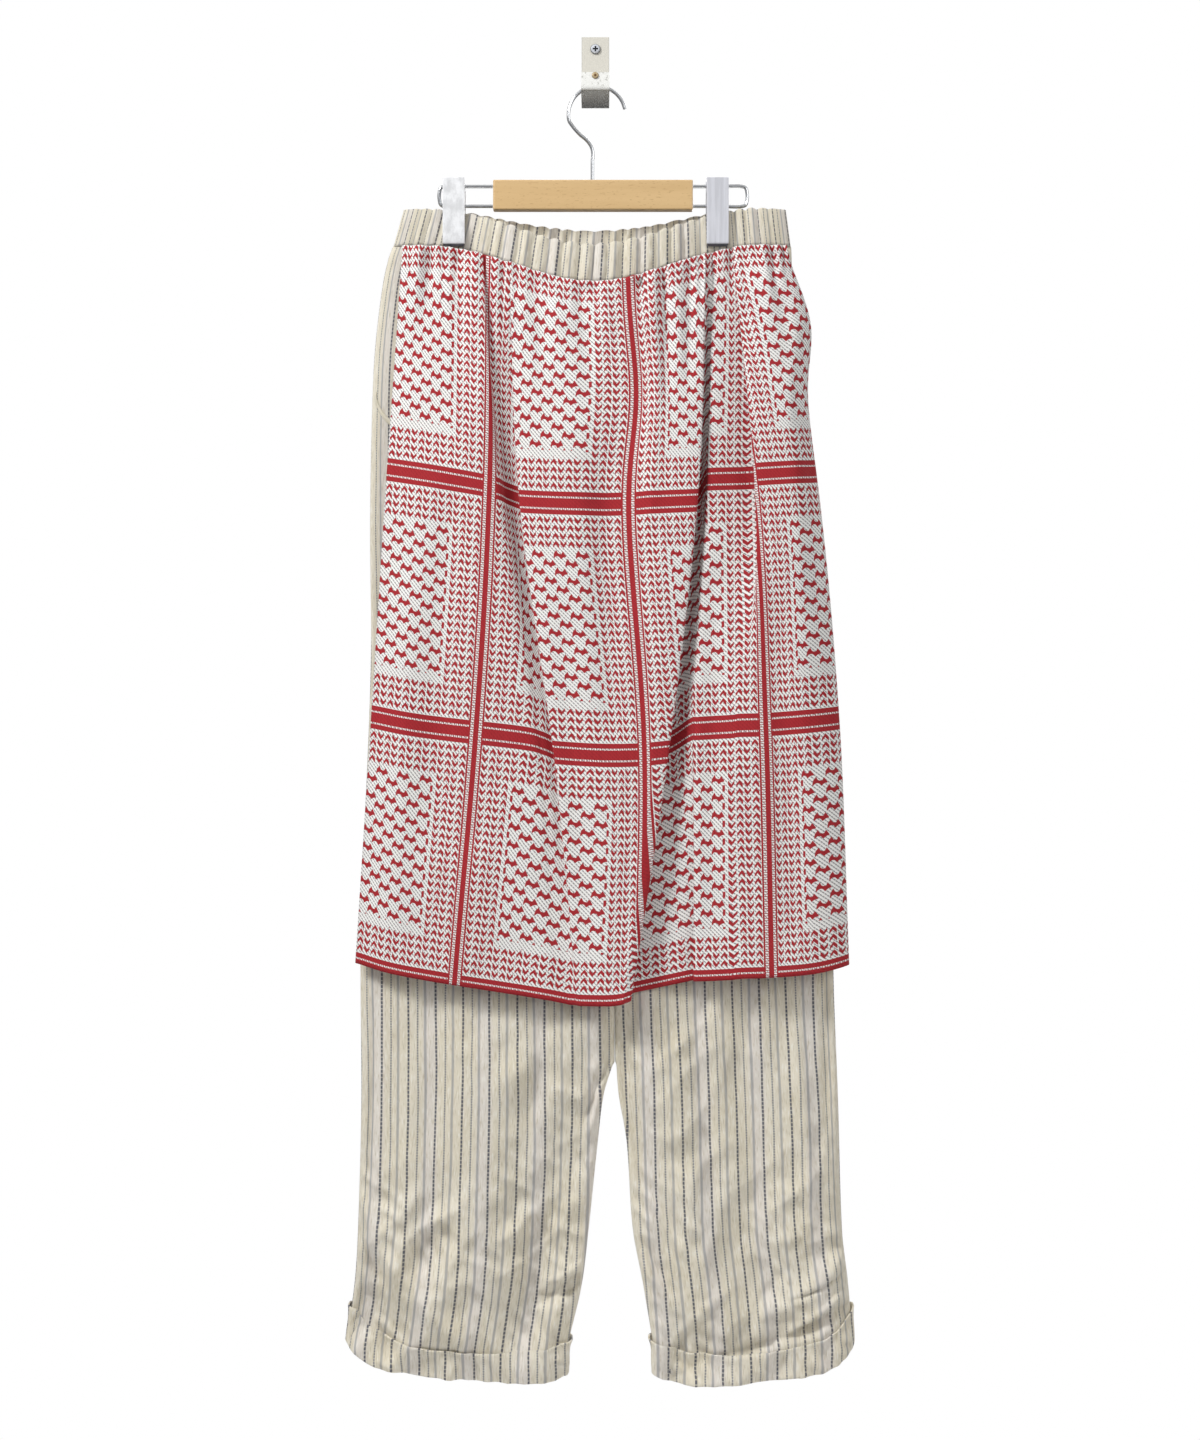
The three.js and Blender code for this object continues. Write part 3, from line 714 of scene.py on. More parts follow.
def stripe_group() -> bpy.types.NodeTree:
    """The trouser cloth's stripes as masks over the flat cloth.

    Returns:
        A group with Bold, Fine, Soft and Weave outputs.
    """
    names = ("Bold", "Fine", "Soft", "Weave")
    draft = start_group(
        "pin stripes", [("Place", "NodeSocketVector")], [(n, "NodeSocketFloat") for n in names]
    )
    ends = draft.tree.nodes[0], draft.tree.nodes[1]
    u, v, _ = draft.millimetres(ends[0].outputs["Place"])
    sway = draft.cloud(draft.stretch(ends[0].outputs["Place"], (30.0, 6.0, 1.0)), 1.0, 2.0)
    u = draft.plus(u, draft.times(draft.less(sway, 0.5), PIN_SWAY))

    def line(centre: float, edge: tuple[float, float]) -> Socket:
        """A stripe with soft edges."""
        away = draft.size(draft.near(u, centre, PIN_REPEAT))
        return draft.less(1.0, draft.soft(away, *edge))

    # The yarns dip under the weft now and then, which breaks their lines up
    masks = {}
    for name, pin in PINS.items():
        shown = draft.plus(0.5, draft.times(draft.above(draft.turn(v, pin.step), pin.gap), 0.5))
        masks[name] = draft.times(line(pin.centre, pin.edge), shown)
    masks["Soft"] = line(SOFT_PIN, SOFT_EDGE)
    warp, weft = (draft.math("SINE", draft.times(way, math.tau / WEAVE_STEP)) for way in (u, v))
    masks["Weave"] = draft.times(warp, weft)
    for name, value in masks.items():
        draft.feed(ends[1].inputs[name], value)
    return draft.tree


def hair_group() -> bpy.types.NodeTree:
    """Slubs and stray fibres, for the two cloths.

    Returns:
        A group with Slub and Cloud outputs.
    """
    draft = start_group(
        "fibres",
        [("Place", "NodeSocketVector")],
        [("Slub", "NodeSocketFloat"), ("Cloud", "NodeSocketFloat")],
    )
    ends = draft.tree.nodes[0], draft.tree.nodes[1]
    where = ends[0].outputs["Place"]
    slub = draft.cloud(draft.stretch(where, (900.0, 110.0, 1.0)), 1.0, 3.0)
    cloud = draft.cloud(draft.stretch(where, (22.0, 14.0, 1.0)), 1.0, 4.0)
    draft.feed(ends[1].inputs["Slub"], slub)
    draft.feed(ends[1].inputs["Cloud"], cloud)
    return draft.tree


class Looks:
    """All the finishes, each built once."""

    clip_under = -182.3
    lip_y = -66.0
    tray_under = -50.9
    tray_edge_y = -68.6
    rivet_z = -39.2

    def __init__(self) -> None:
        """Builds the shared groups, then each material."""
        self.fibres = hair_group()
        self.trouser = self.trouser_cloth()
        self.scarf = self.scarf_cloth()
        self.plate = self.bracket()
        self.screw = self.head("screw steel", srgb(214, 218, 226), srgb(62, 66, 72), 0.0, True)
        self.brass = self.head("rivet brass", srgb(196, 176, 138), srgb(112, 78, 46), self.rivet_z, False)
        self.wire = self.bright_wire()
        mottled, brushed = (150.0, 150.0, 90.0), (500.0, 500.0, 20.0)
        self.clips = {
            Side.LEFT: self.metal("mottled clip steel", srgb(240, 241, 243), 0.4, mottled, 0.07),
            Side.RIGHT: self.metal("grey clip steel", srgb(214, 215, 222), 0.42, brushed, 0.05),
        }
        self.beech = self.wood()

    @staticmethod
    def start(name: str) -> tuple[bpy.types.Material, Draft, bpy.types.Node]:
        """Starts a material with its Principled shader."""
        look = bpy.data.materials.new(name)
        look.use_nodes = True
        tree = look.node_tree
        tree.nodes.clear()
        draft = Draft(tree)
        shader = draft.add("ShaderNodeBsdfPrincipled")
        out = draft.add("ShaderNodeOutputMaterial")
        tree.links.new(shader.outputs["BSDF"], out.inputs["Surface"])
        return look, draft, shader

    @staticmethod
    def raise_by(
        draft: Draft, shader: bpy.types.Node, height: Socket, depth: float, strength: float
    ) -> None:
        """Puts a height into the shader's normal, depth in metres."""
        node = draft.add("ShaderNodeBump")
        node.inputs["Strength"].default_value = strength
        node.inputs["Distance"].default_value = depth
        draft.feed(node.inputs["Height"], height)
        draft.feed(shader.inputs["Normal"], node.outputs["Normal"])

    def trouser_cloth(self) -> bpy.types.Material:
        """Cream wool and linen with fine grey-blue stripes, slightly hairy."""
        look, draft, shader = self.start("striped trouser cloth")
        where = draft.place("UV")
        stripes = use_group(draft, stripe_group(), Place=where).outputs
        fibres = use_group(draft, self.fibres, Place=where).outputs
        ground = draft.blend(fibres["Cloud"], srgb(220, 209, 180), srgb(247, 242, 230))
        u = draft.millimetres(where)[0]
        lilac = draft.soft(draft.size(draft.near(u, 19.0, 47.0)), 9.0, 3.0)
        ground = draft.blend(draft.times(lilac, 0.5), ground, srgb(234, 228, 226))
        thick = draft.soft(fibres["Slub"], 0.52, 0.7)
        ground = draft.blend(draft.times(thick, 0.5), ground, srgb(188, 176, 146))
        thin = draft.soft(fibres["Slub"], 0.46, 0.32)
        ground = draft.blend(draft.times(thin, 0.6), ground, srgb(252, 249, 240))
        colour = draft.blend(draft.times(stripes["Soft"], 0.6), ground, srgb(138, 140, 150))
        colour = draft.blend(draft.times(stripes["Fine"], 0.85), colour, srgb(110, 112, 124))
        colour = draft.blend(draft.times(stripes["Bold"], 0.93), colour, srgb(76, 78, 92))
        draft.feed(shader.inputs["Base Color"], colour)
        shader.inputs["Roughness"].default_value = 0.9
        shader.inputs["Specular IOR Level"].default_value = 0.2
        shader.inputs["Sheen Weight"].default_value = 0.25
        shader.inputs["Sheen Roughness"].default_value = 0.5
        height = draft.plus(draft.times(stripes["Weave"], 0.5), draft.times(fibres["Slub"], 1.2))
        self.raise_by(draft, shader, height, 0.0006, 0.7)
        return look

    def scarf_cloth(self) -> bpy.types.Material:
        """White twill with the red woven scarf pattern."""
        look, draft, shader = self.start("woven scarf cloth")
        where = draft.place("UV")
        weave = use_group(draft, ScarfWeave().build(), Place=where).outputs
        fibres = use_group(draft, self.fibres, Place=where).outputs
        ground = draft.blend(fibres["Cloud"], srgb(232, 229, 227), srgb(246, 244, 241))
        ground = draft.blend(draft.times(weave["Twill"], 0.7), ground, srgb(66, 63, 67))
        red = draft.blend(fibres["Slub"], srgb(150, 30, 38), srgb(180, 46, 52))
        red = draft.blend(draft.times(weave["Twill"], 0.3), red, srgb(100, 20, 28))
        colour = draft.blend(weave["Red"], ground, red)
        draft.feed(shader.inputs["Base Color"], colour)
        shader.inputs["Roughness"].default_value = 0.82
        shader.inputs["Specular IOR Level"].default_value = 0.25
        shader.inputs["Sheen Weight"].default_value = 0.12
        shader.inputs["Sheen Roughness"].default_value = 0.4
        height = draft.plus(draft.times(weave["Weave"], 0.35), draft.times(weave["Red"], 0.8))
        self.raise_by(draft, shader, height, 0.0003, 0.5)
        return look

    def metal(
        self, name: str, colour: Colour, rough: float, grain: tuple[float, float, float], spread: float
    ) -> bpy.types.Material:
        """A clip's steel, with its grain, faint handling marks and painted shade under its curled foot.

        Args:
            name: the finish's name.
            colour: its linear colour.
            rough: its roughness.
            grain: the grain's fineness along each axis, per metre.
            spread: how far the grain varies the colour and the roughness.

        Returns:
            The material.
        """
        look, draft, shader = self.start(name)
        where = draft.place("Object")
        lines = draft.cloud(draft.stretch(where, grain), 1.0, 4.0, 0.65)
        marks = draft.cloud(where, 90.0, 4.0, 0.6)
        dim = tuple(c * (1 - 3 * spread) for c in colour)
        # Painted shade: below clip_under the curled foot's underside is coloured dark grey
        under = draft.below(draft.millimetres(where)[2], self.clip_under)
        face = draft.blend(draft.soft(lines, 0.35, 0.65), dim, colour)
        draft.feed(shader.inputs["Base Color"], draft.blend(under, face, srgb(92, 96, 103)))
        scuff = draft.times(draft.soft(marks, 0.5, 0.7), 0.12)
        grained = draft.plus(rough, draft.times(lines, spread))
        draft.feed(shader.inputs["Roughness"], draft.plus(grained, scuff))
        shader.inputs["Metallic"].default_value = 0.3
        self.raise_by(draft, shader, lines, 0.00003, 0.3)
        return look

    def head(
        self, name: str, colour: Colour, deep: Colour, axis_z: float, crossed: bool
    ) -> bpy.types.Material:
        """A screw's or rivet's head, with painted shade in its recess and round its rim.

        Args:
            name: the finish's name.
            colour: its linear colour.
            deep: the colour of the painted shade in its recess and round its rim.
            axis_z: the height of its axis, in mm.
            crossed: whether the recess is a cross, and else a round hole.

        Returns:
            The material.
        """
        look, draft, shader = self.start(name)
        across, _, high = draft.millimetres(draft.place("Object"))
        x, z = draft.size(across), draft.size(draft.less(high, axis_z))
        away = draft.math("SQRT", draft.plus(draft.times(x, x), draft.times(z, z)))
        # Painted shade: the cross recess or the hole, and a ring round the rim, get the deep colour
        if crossed:
            arms = [draft.both(draft.below(a, 0.75), draft.below(b, 2.4)) for a, b in ((x, z), (z, x))]
            painted_dark = draft.either(*arms, draft.soft(away, 3.7, 4.2))
        else:
            hole = draft.less(1.0, draft.soft(away, 0.9, 1.3))
            painted_dark = draft.either(hole, draft.soft(away, 2.4, 2.8))
        draft.feed(shader.inputs["Base Color"], draft.blend(painted_dark, colour, deep))
        shader.inputs["Metallic"].default_value = 0.4
        shader.inputs["Roughness"].default_value = 0.35
        return look

    def bright_wire(self) -> bpy.types.Material:
        """Polished round wire, with a painted reflection of the darker room along its edges."""
        look, draft, shader = self.start("bright wire")
        edge = draft.add("ShaderNodeLayerWeight")
        edge.inputs["Blend"].default_value = 0.5
        # Painted reflection: the edges that turn away from the camera are coloured dark
        painted_dark = draft.soft(edge.outputs["Facing"], 0.3, 0.75)
        draft.feed(shader.inputs["Base Color"], draft.blend(painted_dark, srgb(226, 228, 231), srgb(70, 73, 78)))
        shader.inputs["Metallic"].default_value = 1.0
        shader.inputs["Roughness"].default_value = 0.2
        return look

    def bracket(self) -> bpy.types.Material:
        """Painted sheet metal, brighter on the lip, with painted shade along its side edges and under the
        tray.
        """
        look, draft, shader = self.start("bracket sheet metal")
        where = draft.place("Object")
        x, y, z = draft.millimetres(where)
        grain = draft.cloud(draft.stretch(where, (900.0, 30.0, 120.0)), 1.0, 4.0, 0.6)
        marks = draft.cloud(where, 260.0, 3.0, 0.6)
        colour = draft.blend(grain, srgb(202, 199, 189), srgb(220, 217, 207))
        # Painted shade along the bracket's side edges
        edge = draft.soft(draft.size(x), 11.2, 12.0)
        colour = draft.blend(draft.times(edge, 0.5), colour, srgb(150, 149, 145))
        lip = draft.blend(draft.soft(marks, 0.56, 0.66), srgb(236, 236, 232), srgb(196, 195, 190))
        colour = draft.blend(draft.below(y, self.lip_y), colour, lip)
        # Painted shade under the tray, lighter near the lip and darker towards the wall
        shade = draft.blend(draft.soft(y, -68.0, -4.0), srgb(176, 175, 168), srgb(100, 99, 96))
        under = draft.both(draft.below(z, self.tray_under), draft.above(y, self.tray_edge_y))
        colour = draft.blend(under, colour, shade)
        draft.feed(shader.inputs["Base Color"], colour)
        draft.feed(shader.inputs["Roughness"], draft.plus(0.42, draft.times(grain, 0.12)))
        shader.inputs["Metallic"].default_value = 0.15
        return look

    def wood(self) -> bpy.types.Material:
        """Lacquered beech with its short flecks along the bar."""
        look, draft, shader = self.start("lacquered beech")
        where = draft.place("Object")
        long_grain = draft.cloud(draft.stretch(where, (9.0, 120.0, 150.0)), 1.0, 4.0, 0.6)
        flecks = draft.cloud(draft.stretch(where, (260.0, 900.0, 1100.0)), 1.0, 2.0, 0.5)
        colour = draft.blend(long_grain, srgb(198, 163, 112), srgb(216, 184, 134))
        colour = draft.blend(draft.times(draft.soft(flecks, 0.6, 0.72), 0.45), colour, srgb(160, 116, 66))
        draft.feed(shader.inputs["Base Color"], colour)
        draft.feed(shader.inputs["Roughness"], draft.plus(0.38, draft.times(flecks, 0.15)))
        shader.inputs["Coat Weight"].default_value = 0.25
        shader.inputs["Coat Roughness"].default_value = 0.2
        self.raise_by(draft, shader, flecks, 0.00008, 0.3)
        return look


# The trousers


@dataclass(frozen=True)
class Row:
    """The outside or inside of the trousers at one height."""

    z: float
    left: float
    right: float

    def at(self, side: Side) -> float:
        """The place across on one side."""
        return self.left if side is Side.LEFT else self.right


@dataclass(frozen=True)
class Fold:
    """A soft fold of a panel, from one place to another, as a ridge or a trough."""

    from_along: float
    from_z: float
    to_along: float
    to_z: float
    width: float
    out: float


SIDES = [
    Row(-183, -172, 166.5), Row(-196, -176.5, 167), Row(-220, -181.3, 167), Row(-271, -187.3, 172),
    Row(-322, -189.8, 172), Row(-424, -191.5, 181), Row(-526, -190.7, 190), Row(-628, -194.1, 198),
    Row(-730, -199.2, 202.5), Row(-806, -199.6, 202.6), Row(-908, -198.8, 206.3),
    Row(-1019, -201.7, 209.7), Row(-1061, -204.3, 214.5), Row(-1117, -211.8, 219.3),
]
INSIDES = [
    Row(-876, 15.6, 17.6), Row(-903, 7.4, 19.6), Row(-944, 2.3, 26.5), Row(-1017, -5.4, 31.6),
    Row(-1065, -11.3, 40.5), Row(-1117, -23.6, 49.2),
]
HEM_STATIONS = {Side.LEFT: [0, 0.2, 0.5, 0.8, 1], Side.RIGHT: [0, 0.2, 0.5, 0.78, 1]}
HEM_HEIGHTS = {
    Side.LEFT: [-1111, -1130.5, -1140.5, -1143.5, -1140],
    Side.RIGHT: [-1112, -1133.5, -1142.5, -1145.5, -1139],
}
FOLDS = {
    "left_front": [
        Fold(0.55, -830, 0.45, -1140, 0.13, 3.5), Fold(0.8, -900, 0.7, -1140, 0.09, -3),
        Fold(0.02, -980, 0.5, -1120, 0.08, 3.5), Fold(0.0, -1050, 0.3, -1130, 0.07, -3),
        Fold(1.0, -1050, 0.72, -1085, 0.07, -4), Fold(0.3, -850, 0.22, -1100, 0.06, 1.8),
        Fold(0.0, -1010, 0.34, -1100, 0.03, -1.6), Fold(0.12, -1020, 0.6, -1130, 0.025, 1.3),
        Fold(1.0, -1062, 0.86, -1076, 0.03, -2.6), Fold(1.0, -1040, 0.8, -1062, 0.04, 2.2),
        Fold(0.68, -810, 0.63, -1010, 0.03, -1.6), Fold(0.1, -810, 0.07, -1000, 0.03, -1.8),
        Fold(0.97, -850, 0.84, -1000, 0.05, -2.2), Fold(1.0, -880, 0.88, -960, 0.03, 2.0),
        Fold(0.36, -800, 0.33, -960, 0.05, -1.6), Fold(0.88, -800, 0.9, -900, 0.04, 2.0),
    ],
    "right_front": [
        Fold(0.75, -850, 0.62, -1140, 0.1, 4), Fold(0.45, -830, 0.4, -1130, 0.08, -3.5),
        Fold(0.0, -1030, 0.45, -1095, 0.08, 4), Fold(0.0, -1075, 0.6, -1125, 0.07, -3.5),
        Fold(1.0, -1040, 0.6, -1110, 0.07, 3), Fold(0.02, -1050, 0.36, -1078, 0.025, -2.0),
        Fold(0.05, -1066, 0.42, -1110, 0.022, 1.8), Fold(0.3, -1040, 0.62, -1118, 0.03, -1.7),
        Fold(0.98, -1010, 0.72, -1100, 0.035, -1.8), Fold(0.55, -1060, 0.9, -1122, 0.03, 1.6),
        Fold(0.26, -810, 0.2, -1020, 0.035, 2.0), Fold(0.62, -800, 0.58, -1000, 0.035, -2.0),
        Fold(0.98, -850, 0.88, -1010, 0.05, -2.2), Fold(0.86, -800, 0.8, -930, 0.04, 2.0),
        Fold(0.08, -800, 0.1, -960, 0.04, -1.8), Fold(0.4, -800, 0.42, -900, 0.03, 1.6),
    ],
    "left_back": [
        Fold(0.35, -190, 0.3, -1120, 0.1, 4), Fold(0.62, -190, 0.55, -1130, 0.09, -4),
        Fold(0.85, -230, 0.75, -1120, 0.08, 3.5), Fold(0.0, -1010, 0.5, -1110, 0.08, 3),
        Fold(0.2, -240, 0.16, -620, 0.04, -2.2), Fold(0.5, -300, 0.46, -760, 0.035, 2.0),
        Fold(0.72, -420, 0.66, -900, 0.04, -1.8), Fold(0.1, -1030, 0.5, -1126, 0.03, -1.6),
        Fold(1.0, -1030, 0.78, -1090, 0.04, 2.0), Fold(0.92, -700, 0.6, -880, 0.05, 2.4),
    ],
    "right_back": [
        Fold(0.3, -190, 0.36, -1120, 0.1, 4), Fold(0.56, -190, 0.6, -1130, 0.09, -4),
        Fold(0.82, -230, 0.8, -1120, 0.08, 3.5), Fold(0.0, -1020, 0.5, -1100, 0.08, -3),
        Fold(0.16, -260, 0.2, -560, 0.035, 2.0), Fold(0.46, -240, 0.42, -820, 0.04, -2.0),
        Fold(0.7, -380, 0.74, -860, 0.035, 1.9), Fold(0.04, -1046, 0.44, -1118, 0.03, 1.7),
        Fold(0.96, -1020, 0.7, -1100, 0.04, -2.0), Fold(0.95, -690, 0.66, -870, 0.05, -2.2),
    ],
}


@dataclass(frozen=True)
class Waist:
    """The waist's own sizes, which the band, the panels and the apron share."""

    seam_gap: float = 0.3
    side_seam_z: float = -183.6
    band_tall: float = 30.5
    top_left: float = -163.5
    top_right: float = 162.5
    foot_left: float = -172.0
    foot_right: float = 166.5
    front_sag: float = 31.5
    back_sag: float = 15.5
    sag_centre: float = -2.0
    sag_reach: float = 138.0
    depth: float = 13.0
    pinch_width: float = 30.0
    pinch_share: float = 0.8
    pinch_foot_z: float = -370.0
    ring_power: float = 2.6

    def ring(self, share: float) -> float:
        """The profile of a flattened tube, 0 at its sides and 1 mid-way."""
        away = abs(2 * clamp01(share) - 1)
        return (1 - away**self.ring_power) ** (1 / self.ring_power)

    def seam_z(self, x: float, half: Half) -> float:
        """The height of the waist seam."""
        t = min(1.0, abs(x - self.sag_centre) / self.sag_reach)
        deepest = self.front_sag if half is Half.FRONT else self.back_sag
        return self.side_seam_z - deepest * (0.5 + 0.5 * math.cos(math.pi * t))

    def pinch_at(self, x: float) -> float:
        """How much of the waist's depth the clips leave."""
        near = sum(bump_at(x - clip, self.pinch_width) for clip in CLIP_X.values())
        return 1 - self.pinch_share * min(1.0, near)

    def depth_at(self, x: float) -> float:
        """How far the waist stands from the hanging plane."""
        share = (x - self.foot_left) / (self.foot_right - self.foot_left)
        return self.depth * self.ring(share) * self.pinch_at(x)


@dataclass(frozen=True)
class Waistband:
    """The gathered casing, front and back."""

    waist: Waist
    wall: float = 0.9
    hollow: float = 1.15
    gathers: int = 30
    wave: float = 2.0
    fullness: float = 1.45
    fold_from: float = 0.46
    fold_to: float = 0.54
    puff: float = 0.5
    crimp: float = 0.5

    def point(self, half: Half, u: float, v: float) -> Vector:
        """A point of the casing, which goes up its outside, over the top and down its inside."""
        w = self.waist
        face = half.face
        up = clamp01(min(v, 1 - v) / self.fold_from)
        turn = clamp01((v - self.fold_from) / (self.fold_to - self.fold_from))
        share = mix(u, (1 - math.cos(math.pi * u)) / 2, 0.35)
        left = mix(w.foot_left, w.top_left, up) + self.wall
        right = mix(w.foot_right, w.top_right, up) - self.wall
        x = mix(left, right, share)
        ends = ease(6 * u) * ease(6 - 6 * u)
        seed = 3.0 if half is Half.FRONT else 9.0
        drift = 3.2 * ripple(x, 0, 36, seed) + 0.6 * ripple(x, up * 30, 14, seed)
        phase = math.tau * self.gathers * u + drift
        round_top = 2 * abs(math.sin(phase / 2)) - 1
        pucker = round_top * (0.9 + 0.5 * ripple(x, 60, 24, seed))
        calm = mix(0.45, 1.0, w.pinch_at(x))
        wave = self.wave * pucker * ends * calm
        out = self.hollow * math.cos(math.pi * turn)
        if v < 0.5:
            out += self.puff * math.sin(math.pi * up)
            out += self.crimp * (1 - (2 * up - 1) ** 2) * math.cos(phase * 1.5 + 1.3) * ends * calm
        lip = math.sin(math.pi * turn)
        rise = w.band_tall * up + lip + 1.1 * pucker * ends * up - 0.4
        depth = w.depth * w.ring(share) * w.pinch_at(x) + wave + out
        y = HANG_Y + face * max(0.5, depth)
        return Vector((x, y, w.seam_z(x, half) + max(0.15, rise)))

    def build(self, half: Half, look: bpy.types.Material) -> bpy.types.Object:
        """Makes one half of the band."""
        name = f"waistband_{half.value}"
        w = self.waist
        long = (w.foot_right - w.foot_left) * self.fullness
        flat = lambda u, v, _: (u * long + 5.0, v * 2 * w.band_tall)
        across = even(self.gathers * 12)
        down = [*even(9, 0, 0.46), 0.475, 0.49, 0.5, 0.51, 0.525, *even(4, 0.54, 1)]
        piece = cloth(
            f"band_{half.value}_cloth", lambda u, v: self.point(half, u, v), flat, across, down,
            self.wall, Vector((0, half.face, 0)),
        )
        dress(piece, look, "striped_cloth", name)
        return piece


@dataclass(frozen=True)
class Trousers:
    """The four panels, their cuffs and the pocket's lip."""

    waist: Waist
    wall: float = 1.2
    cuff_wall: float = 1.3
    hip_z: float = -262.0
    apron_foot_z: float = -790.0
    crotch_z: float = -876.0
    fork_reach: float = 120.0
    centre_top_x: float = -3.0
    centre_foot_x: float = 16.6
    centre_foot_z: float = -830.0
    back_hem_lift: float = 7.0
    cuff_row: float = 0.96
    cuff_side: float = 29.5
    cuff_middle: float = 22.5
    cuff_inner: float = 28.5
    cuff_turn: float = 0.8
    fold_gain: float = 2.6
    crease_size: float = 36.0
    crease_out: tuple[float, float] = (3.4, 5.0)
    crinkle_size: float = 16.0
    crinkle_out: tuple[float, float] = (1.7, 2.6)
    back_gather: float = 2.8
    wave_out: float = 3.2
    bare_z: float = -800.0
    low_z: float = -940.0

    def centre_x(self, z: float) -> float:
        """The centre seam."""
        w = self.waist
        share = clamp01((z - w.side_seam_z) / (self.centre_foot_z - w.side_seam_z))
        return mix(self.centre_top_x, self.centre_foot_x, share)

    def side_x(self, side: Side, z: float) -> float:
        """The side seam."""
        return smooth_at([r.z for r in SIDES], [r.at(side) for r in SIDES], z)

    def inside_x(self, side: Side, z: float) -> float:
        """The centre seam, and below the crotch the inner seam."""
        if z > self.crotch_z:
            return self.centre_x(z)
        return smooth_at([r.z for r in INSIDES], [r.at(side) for r in INSIDES], z)

    def depth_at(self, half: Half, z: float) -> float:
        """How far the cloth stands from the hanging plane."""
        hip, leg = (9.0, 14.0) if half is Half.FRONT else (17.0, 16.0)
        below = mix(hip, leg, ease((self.apron_foot_z - z) / 120))
        top = self.waist.side_seam_z
        return mix(self.waist.depth, below, ease((top - z) / (top - self.hip_z)))

    def fold_at(self, folds: Sequence[Fold], along: float, z: float) -> float:
        """The sum of a panel's folds at one place."""
        out = 0.0
        for fold in folds:
            t = (z - fold.from_z) / (fold.to_z - fold.from_z)
            if 0 < t < 1:
                middle = mix(fold.from_along, fold.to_along, t)
                out += fold.out * ease(1 - abs(2 * t - 1) ** 3) * bump_at(along - middle, fold.width)
        return self.fold_gain * out

    def wrinkles_at(self, half: Half, along: float, spot: Vector, loose: float, seed: float) -> float:
        """The small unevenness of a panel, which the apron keeps flat where it covers the cloth.

        Args:
            half: the panel in front or behind.
            along: the share of the way from the side seam to the centre or inner seam.
            spot: the place, of which x and z count.
            loose: how free the cloth is there, from 0 at a seam to 1.
            seed: which panel.

        Returns:
            How far it moves the cloth outwards, in mm.
        """
        x, z, out = spot.x, spot.z, 0.0
        below = self.waist.seam_z(x, half) - z
        if half is Half.FRONT:
            if z > self.apron_foot_z + 20:
                return out
            quiet = ease((self.bare_z - z) / 60)
        else:
            quiet = ease(below / 40)
            gather = math.sin(math.tau * 9 * along) + 0.4 * math.sin(math.tau * 21 * along + 1)
            fade = 1 - ease(below / 90)
            out += self.back_gather * gather * fade * loose * quiet
        out += loose * quiet * self.wave_out * ripple(x * 1.6, z * 0.5, 60, seed)
        low = ease((self.low_z - z) / 100)
        loose *= quiet
        here = clamp01(0.65 + 1.5 * ripple(x, z, 110, seed + 4) + 0.3 * low)
        out += loose * here * mix(*self.crease_out, low) * crumple(x, z, self.crease_size, seed + 1)
        out += loose * here * mix(*self.crinkle_out, low) * crumple(-x, z, self.crinkle_size, seed + 3)
        return out + loose * (0.25 + 0.3 * low) * ripple(x, z, 9, seed + 2)

    def point(self, side: Side, half: Half, along: float, z: float) -> Vector:
        """A point of a panel.

        Args:
            side: the panel's side.
            half: the panel in front or behind.
            along: the share of the way from the side seam to the centre or inner seam.
            z: the height.

        Returns:
            The middle of the cloth there, in mm.
        """
        w = self.waist
        hand, face = side.hand, half.face
        one = ease((z - self.crotch_z) / self.fork_reach)
        outer = self.side_x(side, z) + hand * self.wall / 2
        inner = self.inside_x(side, z) - hand * (w.seam_gap / 2 + (self.wall / 2) * (1 - one))
        bunched = mix((1 - math.cos(math.pi * along)) / 2, 1 - math.cos(math.pi * along / 2), one)
        x = mix(outer, inner, mix(along, bunched, 0.6))
        left = self.side_x(Side.LEFT, z) + self.wall / 2
        right = self.side_x(Side.RIGHT, z) - self.wall / 2
        hip = w.ring((x - left) / (right - left))
        leg = w.ring((x - outer) / (inner - outer))
        top = w.side_seam_z
        high = 1 - ease((top - z) / (top - w.pinch_foot_z))
        pinch = mix(1.0, w.pinch_at(x), high)
        shape = mix(leg, hip, one)
        loose = min(1.0, 2.5 * leg) * min(1.0, 1.6 * w.ring(along / 2 + 0.5 * along * (1 - one)))
        soft = self.fold_at(FOLDS[f"{side.value}_{half.value}"], along, z) * loose
        seed = 20.0 + 7 * (side is Side.LEFT) + 3 * (half is Half.FRONT)
        soft += self.wrinkles_at(half, along, Vector((x, 0, z)), loose, seed)
        depth = self.depth_at(half, z) * shape * pinch + soft
        return Vector((x, HANG_Y + face * depth, z))

    def hem_z(self, side: Side, half: Half, along: float) -> float:
        """The height of the hem."""
        lift = 0 if half is Half.FRONT else self.back_hem_lift * self.waist.ring(along)
        return smooth_at(HEM_STATIONS[side], HEM_HEIGHTS[side], along) + lift

    def cuff_tall(self, along: float) -> float:
        """The height of the cuff."""
        if along < 0.5:
            return mix(self.cuff_side, self.cuff_middle, ease(2 * along))
        return mix(self.cuff_middle, self.cuff_inner, ease(2 * along - 1))

    def row_z(self, side: Side, half: Half, u: float, v: float) -> float:
        """The height of one of a panel's rows."""
        w = self.waist
        foot = self.hem_z(side, half, u)
        fold = foot + self.cuff_tall(u)
        if v > self.cuff_row:
            return mix(fold, foot, (v - self.cuff_row) / (1 - self.cuff_row))
        return mix(self.seam_height(side, half, u) - w.seam_gap / 2, fold, v / self.cuff_row)

    @lru_cache(maxsize=4096)
    def seam_height(self, side: Side, half: Half, u: float) -> float:
        """The height of the waist seam at one share of a panel."""
        x = self.point(side, half, u, self.waist.side_seam_z).x
        return self.waist.seam_z(x, half)

